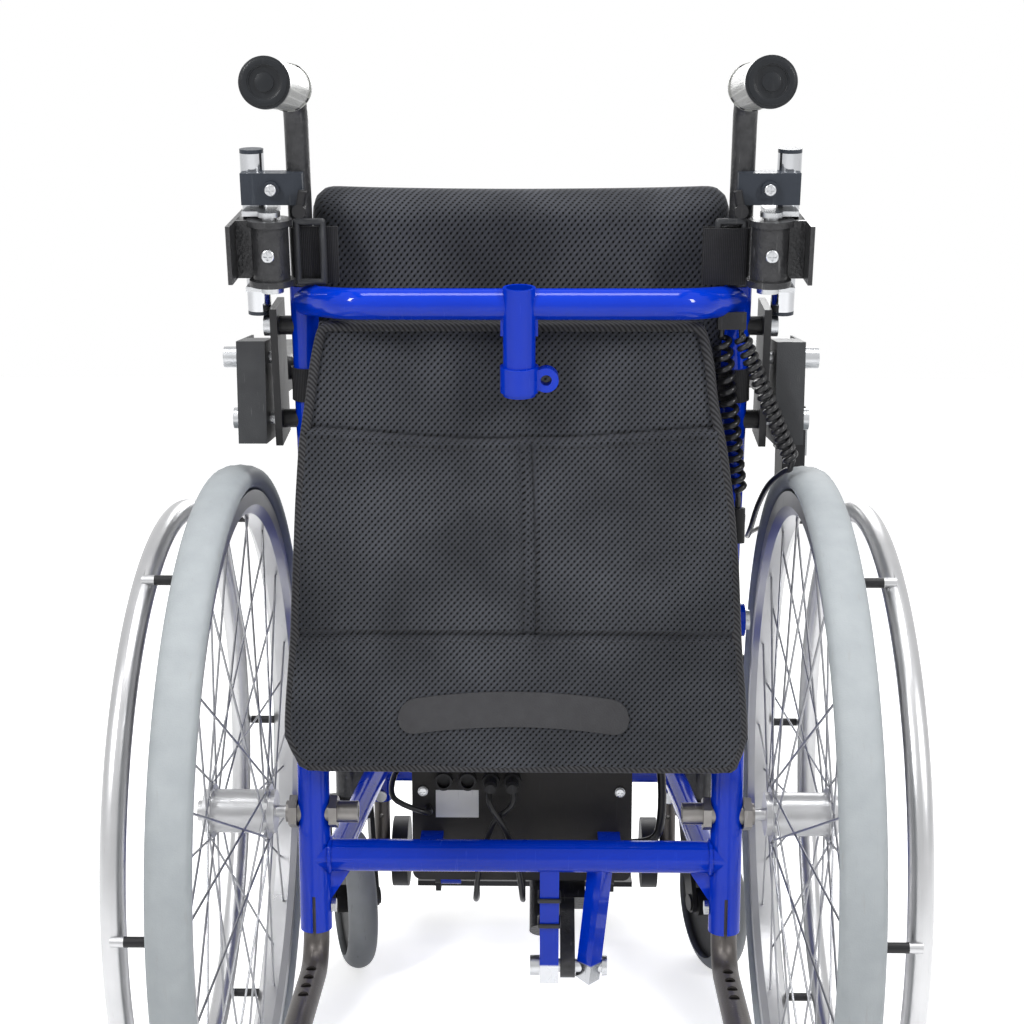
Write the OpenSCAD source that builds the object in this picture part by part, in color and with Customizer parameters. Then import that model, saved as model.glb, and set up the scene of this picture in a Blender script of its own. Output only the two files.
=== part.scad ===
// Standing wheelchair: pushed round by hand rims, stood up by an electric actuator.
// Millimetres. The origin is on the floor under the middle of the outline, +X is the
// occupant's right, +Y is forward and +Z is up. Places along Y are given from the rear axle.

/* [Overall] */
// Length from the back of the rear wheels to the front of the footplate
overall_l = 860; // [840:1:880]
// Angle of the backrest from upright, in degrees
lean = 10; // [8:0.5:12]

/* [Rear wheels] */
// Outer radius of the rear tyre
wheel_r = 305; // [295:1:306]
// Middle of the rear wheel from the middle of the chair
wheel_x = 245.4; // [245:0.1:250]
// Width of the rear tyre
tyre_w = 34; // [28:1:35]
// Height of the tyre over the rim
tyre_h = 22; // [18:1:26]
// Depth of the rim along the radius
rim_h = 21; // [16:1:26]
// Width of the rim where the tyre sits
rim_w = 25; // [20:1:28]
// Radius of the hand rim's middle line
pushrim_r = 265; // [255:1:270]
// Radius of the hand rim's tube
pushrim_tube_r = 9.5; // [7:0.1:10]
// Middle of the hand rim from the middle of the chair
pushrim_x = 292; // [286:0.5:296]
// Number of spokes in a wheel
spoke_count = 36; // [20:4:36]
// Number of stand-offs that hold the hand rim
standoff_count = 6; // [5:1:8]
// Radius of the axle pin
axle_r = 5.5; // [5:0.1:6.5]

/* [Casters and struts] */
// Outer radius of the caster wheel
caster_r = 76; // [70:1:77]
// Width of the caster wheel
caster_w = 32; // [26:1:36]
// Distance that the caster wheel trails behind its stem
caster_trail = 40; // [34:1:42]
// Angle that the casters stand turned to, in degrees
caster_turn = 15; // [10:1:18]
// Stem of the caster from the middle of the chair
caster_x = 198; // [196:1:202]
// Stem of the caster from the rear axle
caster_y = 393; // [388:1:396]
// Radius of the small wheel on the front strut
strut_wheel_r = 40; // [34:1:42]
// Width of the small wheel on the front strut
strut_wheel_w = 18; // [14:1:19]

/* [Frame] */
// Radius of the rear posts
post_r = 14; // [13:0.1:14.5]
// Rear posts from the middle of the chair
post_x = 181; // [179:1:183]
// Height of the top of the rear posts
post_top = 390; // [380:1:391]
// Height of the foot of the rear posts
post_foot = 197; // [190:1:205]
// Radius of the side rails and the front crossbar
rail_r = 12.5; // [11:0.1:13]
// Radius of the front uprights
upright_r = 11; // [10.5:0.1:11.5]
// Front uprights from the middle of the chair
upright_x = 164; // [162:1:165]
// Height of the rear crossbar
crossbar_z = 265; // [255:1:272]
// Height of the upper side rails
upper_rail_z = 372; // [362:1:374]

/* [Seat] */
// Knee pivot and front uprights from the rear axle
knee_y = 440; // [436:1:444]
// Height of the knee pivot and the hip pivot
seat_z = 468; // [464:1:474]
// Hip pivot from the rear axle
hip_y = 48; // [45:1:52]
// Seat tubes from the middle of the chair
seat_x = 185; // [184.5:0.1:185.5]
// Drop from the seat pivots to the link pivots
link_drop = 60; // [58:1:62]
// Thickness of the seat cushion
cushion_h = 50.5; // [40:0.5:54]
// Half of the width of the seat cushion
cushion_half_w = 195; // [180:1:196]

/* [Backrest] */
// Radius of the backrest posts
back_post_r = 11.5; // [11.2:0.1:12]
// Backrest posts and push handles from the middle of the chair
back_x = 180; // [179.5:0.1:181]
// Height of the top of the backrest posts
back_post_top = 765; // [762:1:769]
// Height of the bent bar between the backrest posts
top_bar_z = 752; // [745:1:754]
// Height of the middle of the push handles' grips
grip_z = 918; // [905:1:930]
// Radius of the grips
grip_r = 17.5; // [14:0.5:19]
// Length of the grips
grip_l = 110; // [95:1:125]
// Height of the top of the back cushion
back_cushion_top = 842; // [820:1:860]
// Height of the foot of the rear flap
flap_foot = 354; // [350:1:380]
// Height of the top of the rear flap
flap_top = 736; // [720:1:737]

/* [Armrests and controls] */
// Height of the top of the armrest pads
arm_top = 698; // [696:1:704]
// Length of the armrest pads
pad_l = 215; // [180:1:240]
// Width of the armrest pads
pad_w = 50; // [40:1:50]
// Width of the control box
box_w = 199.5; // [180:0.5:205]
// Height of the control box
box_h = 123; // [110:1:124]
// Height of the handset
handset_h = 95; // [80:1:98]

/* [Hidden] */
$fn = 48;

// Clearances
weld_gap = 0.1;
run_gap = 0.06;
soft_gap = 0.3;
side_gap = 1;
over = 1;

// A bend is this much thicker than its straight runs, which reach this far into it
bend_swell = 0.05;
bend_lap = 0.5;

// The rear axle stands here along Y in the part's own frame
axle_y = wheel_r - overall_l / 2;
front_y = overall_l - wheel_r;

// Frame tubes
post_bore_r = post_r - 2.4;
post_bore_l = 63;
post_bore_top = post_foot + post_bore_l;
post_slit_w = 3;
post_slit_h = 34;
post_bolt_z = post_foot + 21;
lower_rail_rear_z = 225;
lower_rail_front_z = 205;
upright_foot = 160;
upright_top = 440;
upright_bore_r = upright_r - 1.9;
upright_bore_top = 215;
front_bar_z = 195;
gusset_t = 6;
gusset_l = 26;

// Actuator lugs and bracket on the rear crossbar
lug_w = 17;
lug_right_w = 14;
lug_x = 26.25;
lug_right_top_x = 71.5;
lug_right_foot_x = 61;
lug_foot_y = 25;
lug_foot_z = 139;
lug_top_z = crossbar_z - post_r;
act_pin_y = 25;
act_pin_z = 151;
act_pin_r = 6;
act_pin_x0 = 9;
act_nut_x = 74.1;
act_nut_t = 4.5;
box_bracket_x = 80;
box_bracket_w = 20;
box_bracket_t = 8;

// Pivots
pivot_r = 6;
eye_r = 14.5;
eye_half_w = 13;
seat_tube_r = 12.5;
knee_plate_x = 165.5;
knee_plate_t = 6;
knee_plate_foot = 400;
link_z = seat_z - link_drop;
link_x = 144;
link_t = 6;
link_w = 16;
link_pin_r = 5;

// Brake
brake_y = 335;
brake_z = 395;
brake_plate_x = 186.3;
brake_plate_t = 6;
brake_plate_w = 26;
brake_plate_foot = 360;
brake_pin_r = 5;
brake_hub_r = 11;
brake_hub_x = 193;
brake_hub_t = 12;
brake_lever_t = 5.5;
brake_lever_w = 14;
brake_lever_top = 505;
brake_arm_w = 12;
brake_shoe_r = 8;
brake_shoe_y = 325;
brake_shoe_z = 355;
brake_shoe_x1 = 262;
brake_knob_r = 9;

// Caster housing and fork
barrel_r = 12.75;
barrel_foot = 183;
barrel_top = 245;
barrel_cap_h = 4;
stem_r = 8;
stem_top = 240;
fork_ring_r = 12;
fork_ring_h = 4.2;
fork_arm_x = 24;
fork_arm_t = 5;
fork_crown_top = 178.5;
fork_crown_h = 20;
fork_crown_l = 36;
fork_eye_r = 11;
caster_axle_r = 5;
caster_tread_h = 14;
caster_recess = 7;
caster_hub_r = 15;
bracket_foot = 190;
bracket_top = 235;
bracket_w = 20;

// Axle sleeve
sleeve_r = 9.5;
sleeve_x0 = 142;
sleeve_x1 = 205;
sleeve_nut_r = 15;
sleeve_nut_t = 7;

// Rear anti-tip tubes and front struts
tip_r = 11.5;
tip_bore_r = 9.5;
tip_z = 165;
tip_bend_r = 30;
tip_end_y = -150;
tip_bore_l = 118;
tip_stub_top = post_foot + 53;
tip_hole_r = 4.5;
tip_hole_y0 = -40;
tip_hole_step = 16.4;
tip_hole_count = 4;
strut_r = 9;
strut_foot = 84;
strut_top = 200;
strut_hole_z = 143;
strut_hole_r = 2.5;
strut_bolt_z = 168;
strut_axle_y = knee_y + 15;
strut_axle_z = 92;
strut_axle_r = 4;
strut_wheel_x = 134;
strut_plate_x = 153.5;
strut_plate_t = 5;
strut_plate_r = 9;

// Control box and what plugs into it
box_x0 = -98.5;
box_y = 50;
box_d = 100;
box_z = 222;
box_corner_r = 8;
box_slot_x0 = 26;
box_slot_x1 = 68;
box_wall = 3;
box_screw_x_shares = [0.05, 0.945];
box_screw_z = box_z + 85.3;
box_screw_r = 4.5;
box_screw_h = 3;
socket_xs = [-69.4, -47.7, -26.8, -7.3];
socket_z = box_z + 96;
socket_r = 8;
socket_l = 9;
socket_bore_r = 5.5;
socket_bore_l = 7;
plug_r = 6.5;
plug_l = 15;
lead_r = 2.6;
lead_sides = 8;
thick_lead_r = 4;
tie_t = 1.6;
tie_w = 4;
tie_zs = [196, 222];

// Leads at the control box: routes chosen by hand
lead_a = [[-26.8, 32, 318], [-26.8, 21, 305], [-12, 21, 278], [-2, 23, 244], [2, 30, 214], [2, 56, 204], [2, 56, 221.9]];
lead_b = [[-7.3, 32, 318], [-7.3, 28, 302], [-24, 28, 284], [-36, 28, 246], [-40, 32, 214], [-40, 56, 204], [-40, 56, 221.9]];
lead_c = [[-99.5, 75, 318], [-114, 75, 318], [-114, 34, 306], [-84, 34, 292], [-84, 49.2, 292]];
lead_d = [[102.4, 84, 326], [127, 84, 326], [127, 70, 262], [103.4, 70, 250]];

// Bolt heads
bolt_head_r = 6.5;
bolt_head_h = 4;
nut_r = 9;
nut_t = 7;

// Footrest
hanger_r = 10;
hanger_x = 85;
foot_pivot_z = 70;
foot_pin_r = 4;
eye_rim = 1.5;
foot_ear_t = 6;
foot_ear_r = 11;
foot_plate_t = 6;
foot_plate_drop = 21;
foot_plate_half_w = 125;
foot_plate_l = 100;
foot_plate_y0 = front_y - foot_plate_l;

// Knee support
gate_y = 472;
gate_z = 430;
gate_pin_r = 5;
gate_barrel_r = 9;
gate_barrel_h = 20;
gate_lug_t = 6;
gate_bar_r = 9;
gate_bar_y = 545;
gate_bend_r = 28;
knee_pad_x = 80;
knee_pad_w = 110;
knee_pad_h = 120;
knee_pad_t = 22;
knee_pad_r = 20;
catch_gap = 0.5;
catch_t = 5;

// Seat frame
pan_z = seat_z + 11.5;
pan_t = 4;
pan_y0 = 70;
seat_cross_r = 9;
seat_cross_z = seat_z + 3.5;
seat_cross_ys = [122, 300];
lift_y = 300;
lift_x0 = 30;
lift_x1 = 57;
lift_t = 6;
lift_r = 14;
cushion_z = pan_z + pan_t + soft_gap;
cushion_y0 = 70;
cushion_y1 = 450;

// Actuator
act_dy = lift_y - act_pin_y;
act_dz = link_z - act_pin_z;
act_rest_l = norm([act_dy, act_dz]);
act_angle = atan2(act_dz, act_dy);
act_x0 = 36.3;
act_x1 = 49.7;
act_tail_r = 11;
act_tail_l = 60;
act_body_w = 26;
act_body_l = 250;
act_rod_r = 8;
act_rod_bore_r = 8.06;
act_eye_x0 = 38.5;
act_eye_x1 = 54.5;
act_eye_r = 12;
act_eye_pin_r = 5;
motor_r = 13;

// Backrest posts and hip plates
back_post_foot = seat_z + 16.5;
back_bore_r = back_post_r - 1.6;
back_bore_foot = 640;
hip_plate_x = 163;
hip_plate_t = 6;
hip_plate_w = 30;
hip_plate_top = seat_z + 52;
hip_link_bore_r = link_pin_r + 0.2;

// Bent bar and headrest socket
top_bar_r = 12.5;
top_bar_back = 61;
top_bar_half = 139;
top_bar_bend_r = 34;
top_bar_reach_share = 0.92;
socket_tube_r = 13;
socket_tube_bore_r = 10.5;
socket_off = -66;
socket_tube_foot = 690;
socket_tube_top = 777;
socket_gusset_t = 4;
socket_gusset_foot = 738;
collar_foot = 693;
collar_top = 714;
collar_r = 15.4;
collar_ear_x = 21.6;
collar_ear_r = 10;
collar_ear_t = 11;
collar_ear_neck_share = 0.85;
collar_hole_r = 4.5;

// Push handles, grips, rails and clamps
handle_r = 9.8;
handle_foot = 660;
handle_bend_r = 30;
grip_start = 34;
grip_drop = 6;
grip_bore_r = handle_r + run_gap;
grip_ring_r = grip_r + 1;
grip_ring_t = 4;
grip_cap_t = 6;
grip_cap_recess = 2;
chrome_r = 9.7;
chrome_x = 217.3;
chrome_foot = 744;
chrome_top = 871.5;
chrome_plug_h = 3;
clamp_x0 = 174.6;
clamp_x1 = 224.5;
clamp_z = 845.5;
clamp_h = 25.4;
clamp_off0 = -20;
clamp_off1 = -3;
clamp_bolt_x = 199.6;

// Chest arms, clamp levers, belt loops and straps
arm_axis_x = 200.3;
arm_axis_off = -34;
arm_barrel_r = 15;
arm_flange_r = 18.25;
arm_flange_h = 5;
arm_barrel_foot = 772;
arm_barrel_top = 824.5;
arm_stud_r = 6;
arm_plate_x = 229;
arm_plate_t = 3.5;
arm_plate_foot = 776;
arm_plate_top = 822;
arm_plate_back = 20;
arm_plate_front = 62;
arm_web_off0 = 6;
arm_web_t = 5;
lever_x = 177;
lever_z = 829.5;
lever_hub_r = 5.5;
lever_off0 = -30;
lever_off1 = -21.8;
lever_tip_dx = -3.5;
lever_tip_dz = 16;
lever_arm_r = 3.7;
lever_stud_r = 2.5;
loop_x0 = 157.6;
loop_x1 = 184.4;
loop_foot = 768;
loop_top = 822;
loop_wire_r = 2.8;
loop_off = -16;
strap_x0 = 148;
strap_turn_x = 186;
strap_t = 1.7;
strap_h = 46;
strap_foot = 769;

// Side plates and armrest boxes
side_plate_x = 201;
side_plate_t = 6;
side_plate_foot = 632;
side_plate_top = 748;
side_plate_off0 = -17;
side_plate_w = 46;
spacer_r = 8;
spacer_zs = [731, 651];
side_nut_r = 9;
arm_box_x0 = 213;
arm_box_x1 = 237;
arm_box_foot = 632;
arm_box_top = 718;
arm_box_y0 = -8;
arm_box_y1 = 70;
arm_box_open_y = 35;
arm_box_wall = 2;
arm_pivot_y = 52;
arm_pivot_z = 690;
arm_pin_r = 5;
arm_eye_r = 11;
arm_eye_gap = 0.5;
arm_bar_foot = 661;
arm_bar_top = 675;
arm_bar_y0 = 45;
pad_y0 = 86;
pad_mid_x = 225;
pad_edge_r = 6;
box_bolt_y = 16;
box_bolt_z = 703;
big_nut_z = 651;

// Rim, hub and spokes
rim_neck_w = 14;
rim_slope_h = 8;
standoff_r = 4;
standoff_lap = 0.5;
hub_w = 62.4;
hub_r = 19;
hub_flange_r = 24;
hub_flange_t = 3;
hub_flange_in = 5;
spoke_r = 1;
spoke_lead = 62;
spoke_rim_x = 3;
axle_button_r = 9;
axle_button_t = 6;

// Motor beside the actuator, and the handset's holder
gear_x0 = 30;
motor_x = 21;
motor_drop = 28;
motor_start = 45;
motor_end = 98;
act_bore_start = 72;
holder_in = 14;
holder_t = 4;
holder_share = 0.55;

// Handset
handset_x = 250;
handset_t = 22;
handset_y = 205;
handset_w = 50;
handset_z = 545;
handset_edge_r = 6;
rocker_w = 20;
rocker_h = 34;
rocker_t = 7;
rocker_at_share = 0.66;
rocker_axis_in = 3;
rocker_gap = 0.8;
rocker_pin_r = 1.5;
handset_neck_r = 5;
handset_neck_h = 8;

// Curly cord
cord_r = 2.5;
coil_a_r = 8.5;
coil_a_turns = 14;
coil_b_r = 7.5;
coil_b_turns = 18;
coil_rings = 8;
cord_sides = 6;

// Rear flap: height shares from the foot to the top, and the two edges as shares of its half width
flap_half_w = 200;
flap_front = -23;
flap_t = 12;
flap_rows = 22;
flap_cols = 20;
flap_height_shares = [0, 0.01, 0.08, 0.16, 0.3, 0.48, 0.61, 0.74, 0.83, 0.92, 1];
flap_left_shares = [-0.9, -0.94, -1, -0.99, -0.965, -0.945, -0.93, -0.91, -0.88, -0.855, -0.82];
flap_right_shares = [0.9, 0.925, 0.968, 0.955, 0.93, 0.91, 0.885, 0.848, 0.81, 0.79, 0.75];
flap_pocket_share = 0.76;
flap_band_share = 0.315;
flap_bulge = 3;
flap_edge_w_share = 0.04;

// Back cushion
back_cushion_foot = 548;
back_cushion_t = 45;
back_cushion_half_top = 174;
back_cushion_half_foot = 200;
back_cushion_gap = 0.4;
post_strap_foot = 668;
post_strap_top = 697;
post_strap_t = 2;

// Frames and simple shapes
function up_back(z) = (z - seat_z) / cos(lean);
function back_y(z, off) = hip_y - (z - seat_z) * tan(lean) + off / cos(lean);
function lerp(a, b, t) = a + (b - a) * t;
function unit(v) = v / norm(v);

module from_axle() {
    translate([0, axle_y, 0]) children();
}

module both_sides() {
    children();
    mirror([1, 0, 0]) children();
}

module on_side(side) {
    if (side < 0) mirror([1, 0, 0]) children();
    else children();
}

// X across, Y out of the back's plane to the front, Z up along the back from the hip pivot
module in_back() {
    translate([0, hip_y, seat_z]) rotate([lean, 0, 0]) children();
}

module rod(p, q, r) {
    d = q - p;
    l = norm(d);
    translate(p) rotate([0, acos(d.z / l), atan2(d.y, d.x)]) cylinder(r = r, h = l);
}

module x_rod(x0, x1, y, z, r) {
    translate([x0, y, z]) rotate([0, 90, 0]) cylinder(r = r, h = x1 - x0);
}

module y_rod(y0, y1, x, z, r) {
    translate([x, y0, z]) rotate([-90, 0, 0]) cylinder(r = r, h = y1 - y0);
}

module block(p, q) {
    translate(p) cube(q - p);
}

// A plate across X from x0, t thick, whose outline is drawn with Y to the right and Z up
module x_plate(x0, t) {
    translate([x0, 0, 0]) rotate([90, 0, 90]) linear_extrude(height = t) children();
}

// A quarter-like bend from the end of one straight run to the start of the next
module bend(p, u, v, r, b) {
    a = acos(u * v);
    m = unit(v - (u * v) * u);
    s = p - u * (b * tan(a / 2));
    c = s + m * b;
    w = cross(-m, u);
    multmatrix([[-m.x, u.x, w.x, c.x], [-m.y, u.y, w.y, c.y], [-m.z, u.z, w.z, c.z], [0, 0, 0, 1]])
        rotate_extrude(angle = a) translate([b, 0]) circle(r = r + bend_swell);
}

// A tube through the points, with a bend of radius b at each inner point
module pipe(pts, r, b) {
    n = len(pts);
    dirs = [for (i = [0 : n - 2]) unit(pts[i + 1] - pts[i])];
    cuts = [for (i = [0 : n - 1]) i == 0 || i == n - 1 ? 0 : b * tan(acos(dirs[i - 1] * dirs[i]) / 2)];
    laps = [for (c = cuts) c > 0 ? c - bend_lap : 0];
    for (i = [0 : n - 2]) rod(pts[i] + dirs[i] * laps[i], pts[i + 1] - dirs[i] * laps[i + 1], r);
    for (i = [1 : 1 : n - 2]) bend(pts[i], dirs[i - 1], dirs[i], r, b);
}

module post_shape(extra) {
    translate([post_x, 0, post_foot]) cylinder(r = post_r + extra, h = post_top - post_foot);
}

module upright_shape(extra) {
    translate([upright_x, knee_y, upright_foot]) cylinder(r = upright_r + extra, h = upright_top - upright_foot);
}

module lower_rail_shape(extra) {
    rod([post_x, 0, lower_rail_rear_z], [upright_x, knee_y, lower_rail_front_z], rail_r + extra);
}

module upper_rail_shape(extra) {
    rod([post_x, 0, upper_rail_z], [upright_x, knee_y, upper_rail_z], rail_r + extra);
}

module crossbar_shape(extra) {
    x_rod(-post_x, post_x, 0, crossbar_z, post_r + extra);
}

module front_bar_shape(extra) {
    x_rod(-upright_x, upright_x, knee_y, front_bar_z, rail_r + extra);
}

module back_post_shape(extra) {
    translate([back_x, 0, up_back(back_post_foot)])
        cylinder(r = back_post_r + extra, h = up_back(back_post_top) - up_back(back_post_foot));
}

module handle_stem_shape(extra) {
    translate([back_x, 0, up_back(handle_foot)])
        cylinder(r = handle_r + extra, h = up_back(grip_z) - up_back(handle_foot));
}

module chrome_shape(extra) {
    translate([chrome_x, 0, up_back(chrome_foot)])
        cylinder(r = chrome_r + extra, h = up_back(chrome_top) - up_back(chrome_foot));
}

// Chassis
module rear_posts() {
    color([0.02, 0.12, 0.72]) from_axle() both_sides() difference() {
        post_shape(0);
        translate([post_x, 0, post_foot - over]) cylinder(r = post_bore_r, h = post_bore_top - post_foot + over);
        x_rod(post_x - post_r - over, post_x + post_r + over, 0, wheel_r, sleeve_r + weld_gap);
        translate([post_x - post_slit_w / 2, -post_r - over, post_foot - over])
            cube([post_slit_w, post_r, post_slit_h + over]);
    }
}

module lug(x_top, x_foot, w, depth) {
    top = [x_top, 0, lug_top_z + lug_w / 2];
    foot = [x_foot, lug_foot_y, lug_foot_z];
    d = foot - top;
    l = norm(d);
    translate(top) rotate([0, acos(d.z / l), atan2(d.y, d.x)]) rotate([0, 0, -atan2(d.y, d.x)])
        translate([-w / 2, -depth / 2, 0]) cube([w, depth, l]);
}

module base_crossbars() {
    color([0.02, 0.12, 0.72]) from_axle() {
        difference() {
            union() {
                crossbar_shape(0);
                lug(lug_x, lug_x, lug_w, lug_w);
                lug(lug_right_top_x, lug_right_foot_x, lug_right_w, lug_w);
                for (s = [-1, 1]) block([s * box_bracket_x - box_bracket_w / 2, 0, crossbar_z - box_bracket_t / 2],
                    [s * box_bracket_x + box_bracket_w / 2, box_y - weld_gap, crossbar_z + box_bracket_t / 2]);
                both_sides() translate([0, gusset_t / 2, 0]) rotate([90, 0, 0]) linear_extrude(height = gusset_t)
                    polygon([[post_x, crossbar_z], [post_x - post_r - gusset_l, crossbar_z],
                        [post_x - post_r, crossbar_z - post_r - gusset_l], [post_x, crossbar_z - post_r - gusset_l]]);
            }
            both_sides() post_shape(weld_gap);
            x_rod(0, post_x / 2, act_pin_y, act_pin_z, act_pin_r + run_gap);
        }
        difference() {
            front_bar_shape(0);
            both_sides() {
                upright_shape(weld_gap);
                lower_rail_shape(weld_gap);
            }
        }
    }
}

module side_rails() {
    color([0.02, 0.12, 0.72]) from_axle() both_sides() {
        difference() {
            lower_rail_shape(0);
            post_shape(weld_gap);
            upright_shape(weld_gap);
        }
        difference() {
            union() {
                upper_rail_shape(0);
                block([brake_plate_x - brake_plate_w / 2, brake_y - brake_plate_w / 2, brake_plate_foot],
                    [brake_plate_x + brake_plate_t, brake_y + brake_plate_w / 2, upper_rail_z + rail_r / 2]);
                x_plate(brake_plate_x, brake_plate_t) {
                    translate([brake_y, brake_z]) circle(r = brake_plate_w / 2);
                    translate([brake_y - brake_plate_w / 2, brake_plate_foot])
                        square([brake_plate_w, brake_z - brake_plate_foot]);
                }
            }
            post_shape(weld_gap);
            upright_shape(weld_gap);
            x_rod(brake_plate_x - over, brake_plate_x + brake_plate_t + over, brake_y, brake_z,
                brake_pin_r + weld_gap);
        }
    }
}

module front_uprights() {
    color([0.02, 0.12, 0.72]) from_axle() {
        both_sides() difference() {
            union() {
                upright_shape(0);
                x_plate(knee_plate_x, knee_plate_t) {
                    translate([knee_y, seat_z]) circle(r = eye_r);
                    translate([knee_y - upright_r, knee_plate_foot])
                        square([2 * upright_r, seat_z - knee_plate_foot]);
                }
            }
            translate([upright_x, knee_y, upright_foot - over])
                cylinder(r = upright_bore_r, h = upright_bore_top - upright_foot + over);
            x_rod(knee_plate_x - over, knee_plate_x + knee_plate_t + over, knee_y, seat_z, pivot_r + weld_gap);
            x_rod(link_x - over, upright_x, knee_y, link_z, link_pin_r + weld_gap);
        }
        difference() {
            for (s = [-1, 1]) gate_lug(gate_z + s * (gate_barrel_h / 2 + run_gap + gate_lug_t / 2));
            mirror([1, 0, 0]) upright_shape(0);
        }
        difference() {
            block([upright_x - catch_t / 2, knee_y, gate_z - gate_barrel_h / 2],
                [upright_x + catch_t / 2, gate_y - gate_bar_r - catch_gap, gate_z + gate_barrel_h / 2]);
            upright_shape(0);
        }
    }
}

// One ear of the knee support's hinge, with its middle at height z
module gate_lug(z) {
    difference() {
        union() {
            translate([-upright_x, gate_y, z - gate_lug_t / 2]) cylinder(r = gate_barrel_r, h = gate_lug_t);
            block([-upright_x - gate_barrel_r, knee_y, z - gate_lug_t / 2],
                [-upright_x + gate_barrel_r, gate_y, z + gate_lug_t / 2]);
        }
        translate([-upright_x, gate_y, z - gate_lug_t]) cylinder(r = gate_pin_r + weld_gap, h = 2 * gate_lug_t);
    }
}

module caster_housings() {
    color([0.45, 0.45, 0.46]) from_axle() both_sides() difference() {
        union() {
            translate([caster_x, caster_y, barrel_foot]) cylinder(r = barrel_r, h = barrel_top - barrel_foot);
            translate([caster_x, caster_y, barrel_top]) cylinder(r = barrel_r - run_gap * 20, h = barrel_cap_h);
            block([upright_x, caster_y - bracket_w / 2, bracket_foot],
                [caster_x, caster_y + bracket_w / 2, bracket_top]);
        }
        lower_rail_shape(weld_gap);
        translate([caster_x, caster_y, barrel_foot - over]) cylinder(r = stem_r + run_gap, h = stem_top - barrel_foot + 2 * over);
    }
}

module axle_sleeves() {
    color([0.42, 0.36, 0.33]) from_axle() both_sides() difference() {
        union() {
            x_rod(sleeve_x0, sleeve_x1, 0, wheel_r, sleeve_r);
            for (x = [post_x - post_r - weld_gap - sleeve_nut_t, post_x + post_r + weld_gap])
                translate([x, 0, wheel_r]) rotate([0, 90, 0]) cylinder(r = sleeve_nut_r, h = sleeve_nut_t, $fn = 6);
        }
        x_rod(sleeve_x0 - over, sleeve_x1 + over, 0, wheel_r, axle_r + run_gap);
    }
}

module antitip_struts() {
    color([0.5, 0.46, 0.42]) from_axle() both_sides() {
        difference() {
            pipe([[post_x, 0, tip_stub_top], [post_x, 0, tip_z], [post_x, tip_end_y, tip_z]], tip_r, tip_bend_r);
            y_rod(tip_end_y - over, tip_end_y + tip_bore_l, post_x, tip_z, tip_bore_r);
            for (i = [0 : tip_hole_count - 1]) translate([post_x, tip_hole_y0 - i * tip_hole_step, tip_z])
                cylinder(r = tip_hole_r, h = tip_r + over);
        }
        difference() {
            union() {
                translate([upright_x, knee_y, strut_foot]) cylinder(r = strut_r, h = strut_top - strut_foot);
                x_plate(strut_plate_x, strut_plate_t) {
                    translate([strut_axle_y, strut_axle_z]) circle(r = strut_plate_r);
                    translate([knee_y, strut_axle_z - strut_plate_r])
                        square([strut_axle_y - knee_y, 2 * strut_plate_r]);
                }
                x_rod(strut_wheel_x - side_gap, strut_plate_x + strut_plate_t / 2, strut_axle_y, strut_axle_z, strut_axle_r);
                x_rod(strut_wheel_x - 3 * side_gap, strut_wheel_x - side_gap, strut_axle_y, strut_axle_z, 2 * strut_axle_r);
            }
            y_rod(knee_y - upright_r, knee_y + upright_r, upright_x, strut_hole_z, strut_hole_r);
        }
    }
}

module control_box() {
    color([0.06, 0.06, 0.06]) from_axle() difference() {
        hull() for (x = [box_x0 + box_corner_r, box_x0 + box_w - box_corner_r], z = [box_z + box_corner_r, box_z + box_h - box_corner_r])
            y_rod(box_y, box_y + box_d, x, z, box_corner_r);
        block([box_slot_x0, box_y + box_wall, box_z - over], [box_slot_x1, box_y + box_d + over, box_z + box_h + over]);
    }
}

module lead(pts, r) {
    cord_tube(concat([for (i = [0 : len(pts) - 2]) for (t = [0, 0.5]) spline_at(pts, i, t)], [pts[len(pts) - 1]]),
        r, lead_sides);
}

module box_connectors() {
    color([0.05, 0.05, 0.05]) from_axle() {
        for (i = [0 : len(socket_xs) - 1]) difference() {
            y_rod(box_y - weld_gap - socket_l, box_y - weld_gap, socket_xs[i], socket_z, socket_r);
            if (i < 2) y_rod(box_y - socket_l - over, box_y - socket_l + socket_bore_l, socket_xs[i], socket_z, socket_bore_r);
        }
        for (i = [2, 3]) y_rod(box_y - weld_gap - socket_l - plug_l, box_y - weld_gap - socket_l, socket_xs[i], socket_z, plug_r);
        lead(lead_a, lead_r);
        lead(lead_b, lead_r);
        lead(lead_c, lead_r);
        lead(lead_d, thick_lead_r);
        for (z = tie_zs) difference() {
            intersection() {
                lug(lug_x, lug_x, lug_w + 2 * tie_t, lug_w + 2 * tie_t);
                block([0, -post_x, z], [post_x, post_x, z + tie_w]);
            }
            lug(lug_x, lug_x, lug_w + 2 * weld_gap, lug_w + 2 * weld_gap);
        }
    }
}

module hex_head(x, y, z, axis) {
    translate([x, y, z]) rotate(axis) cylinder(r = bolt_head_r, h = bolt_head_h, $fn = 6);
}

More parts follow.
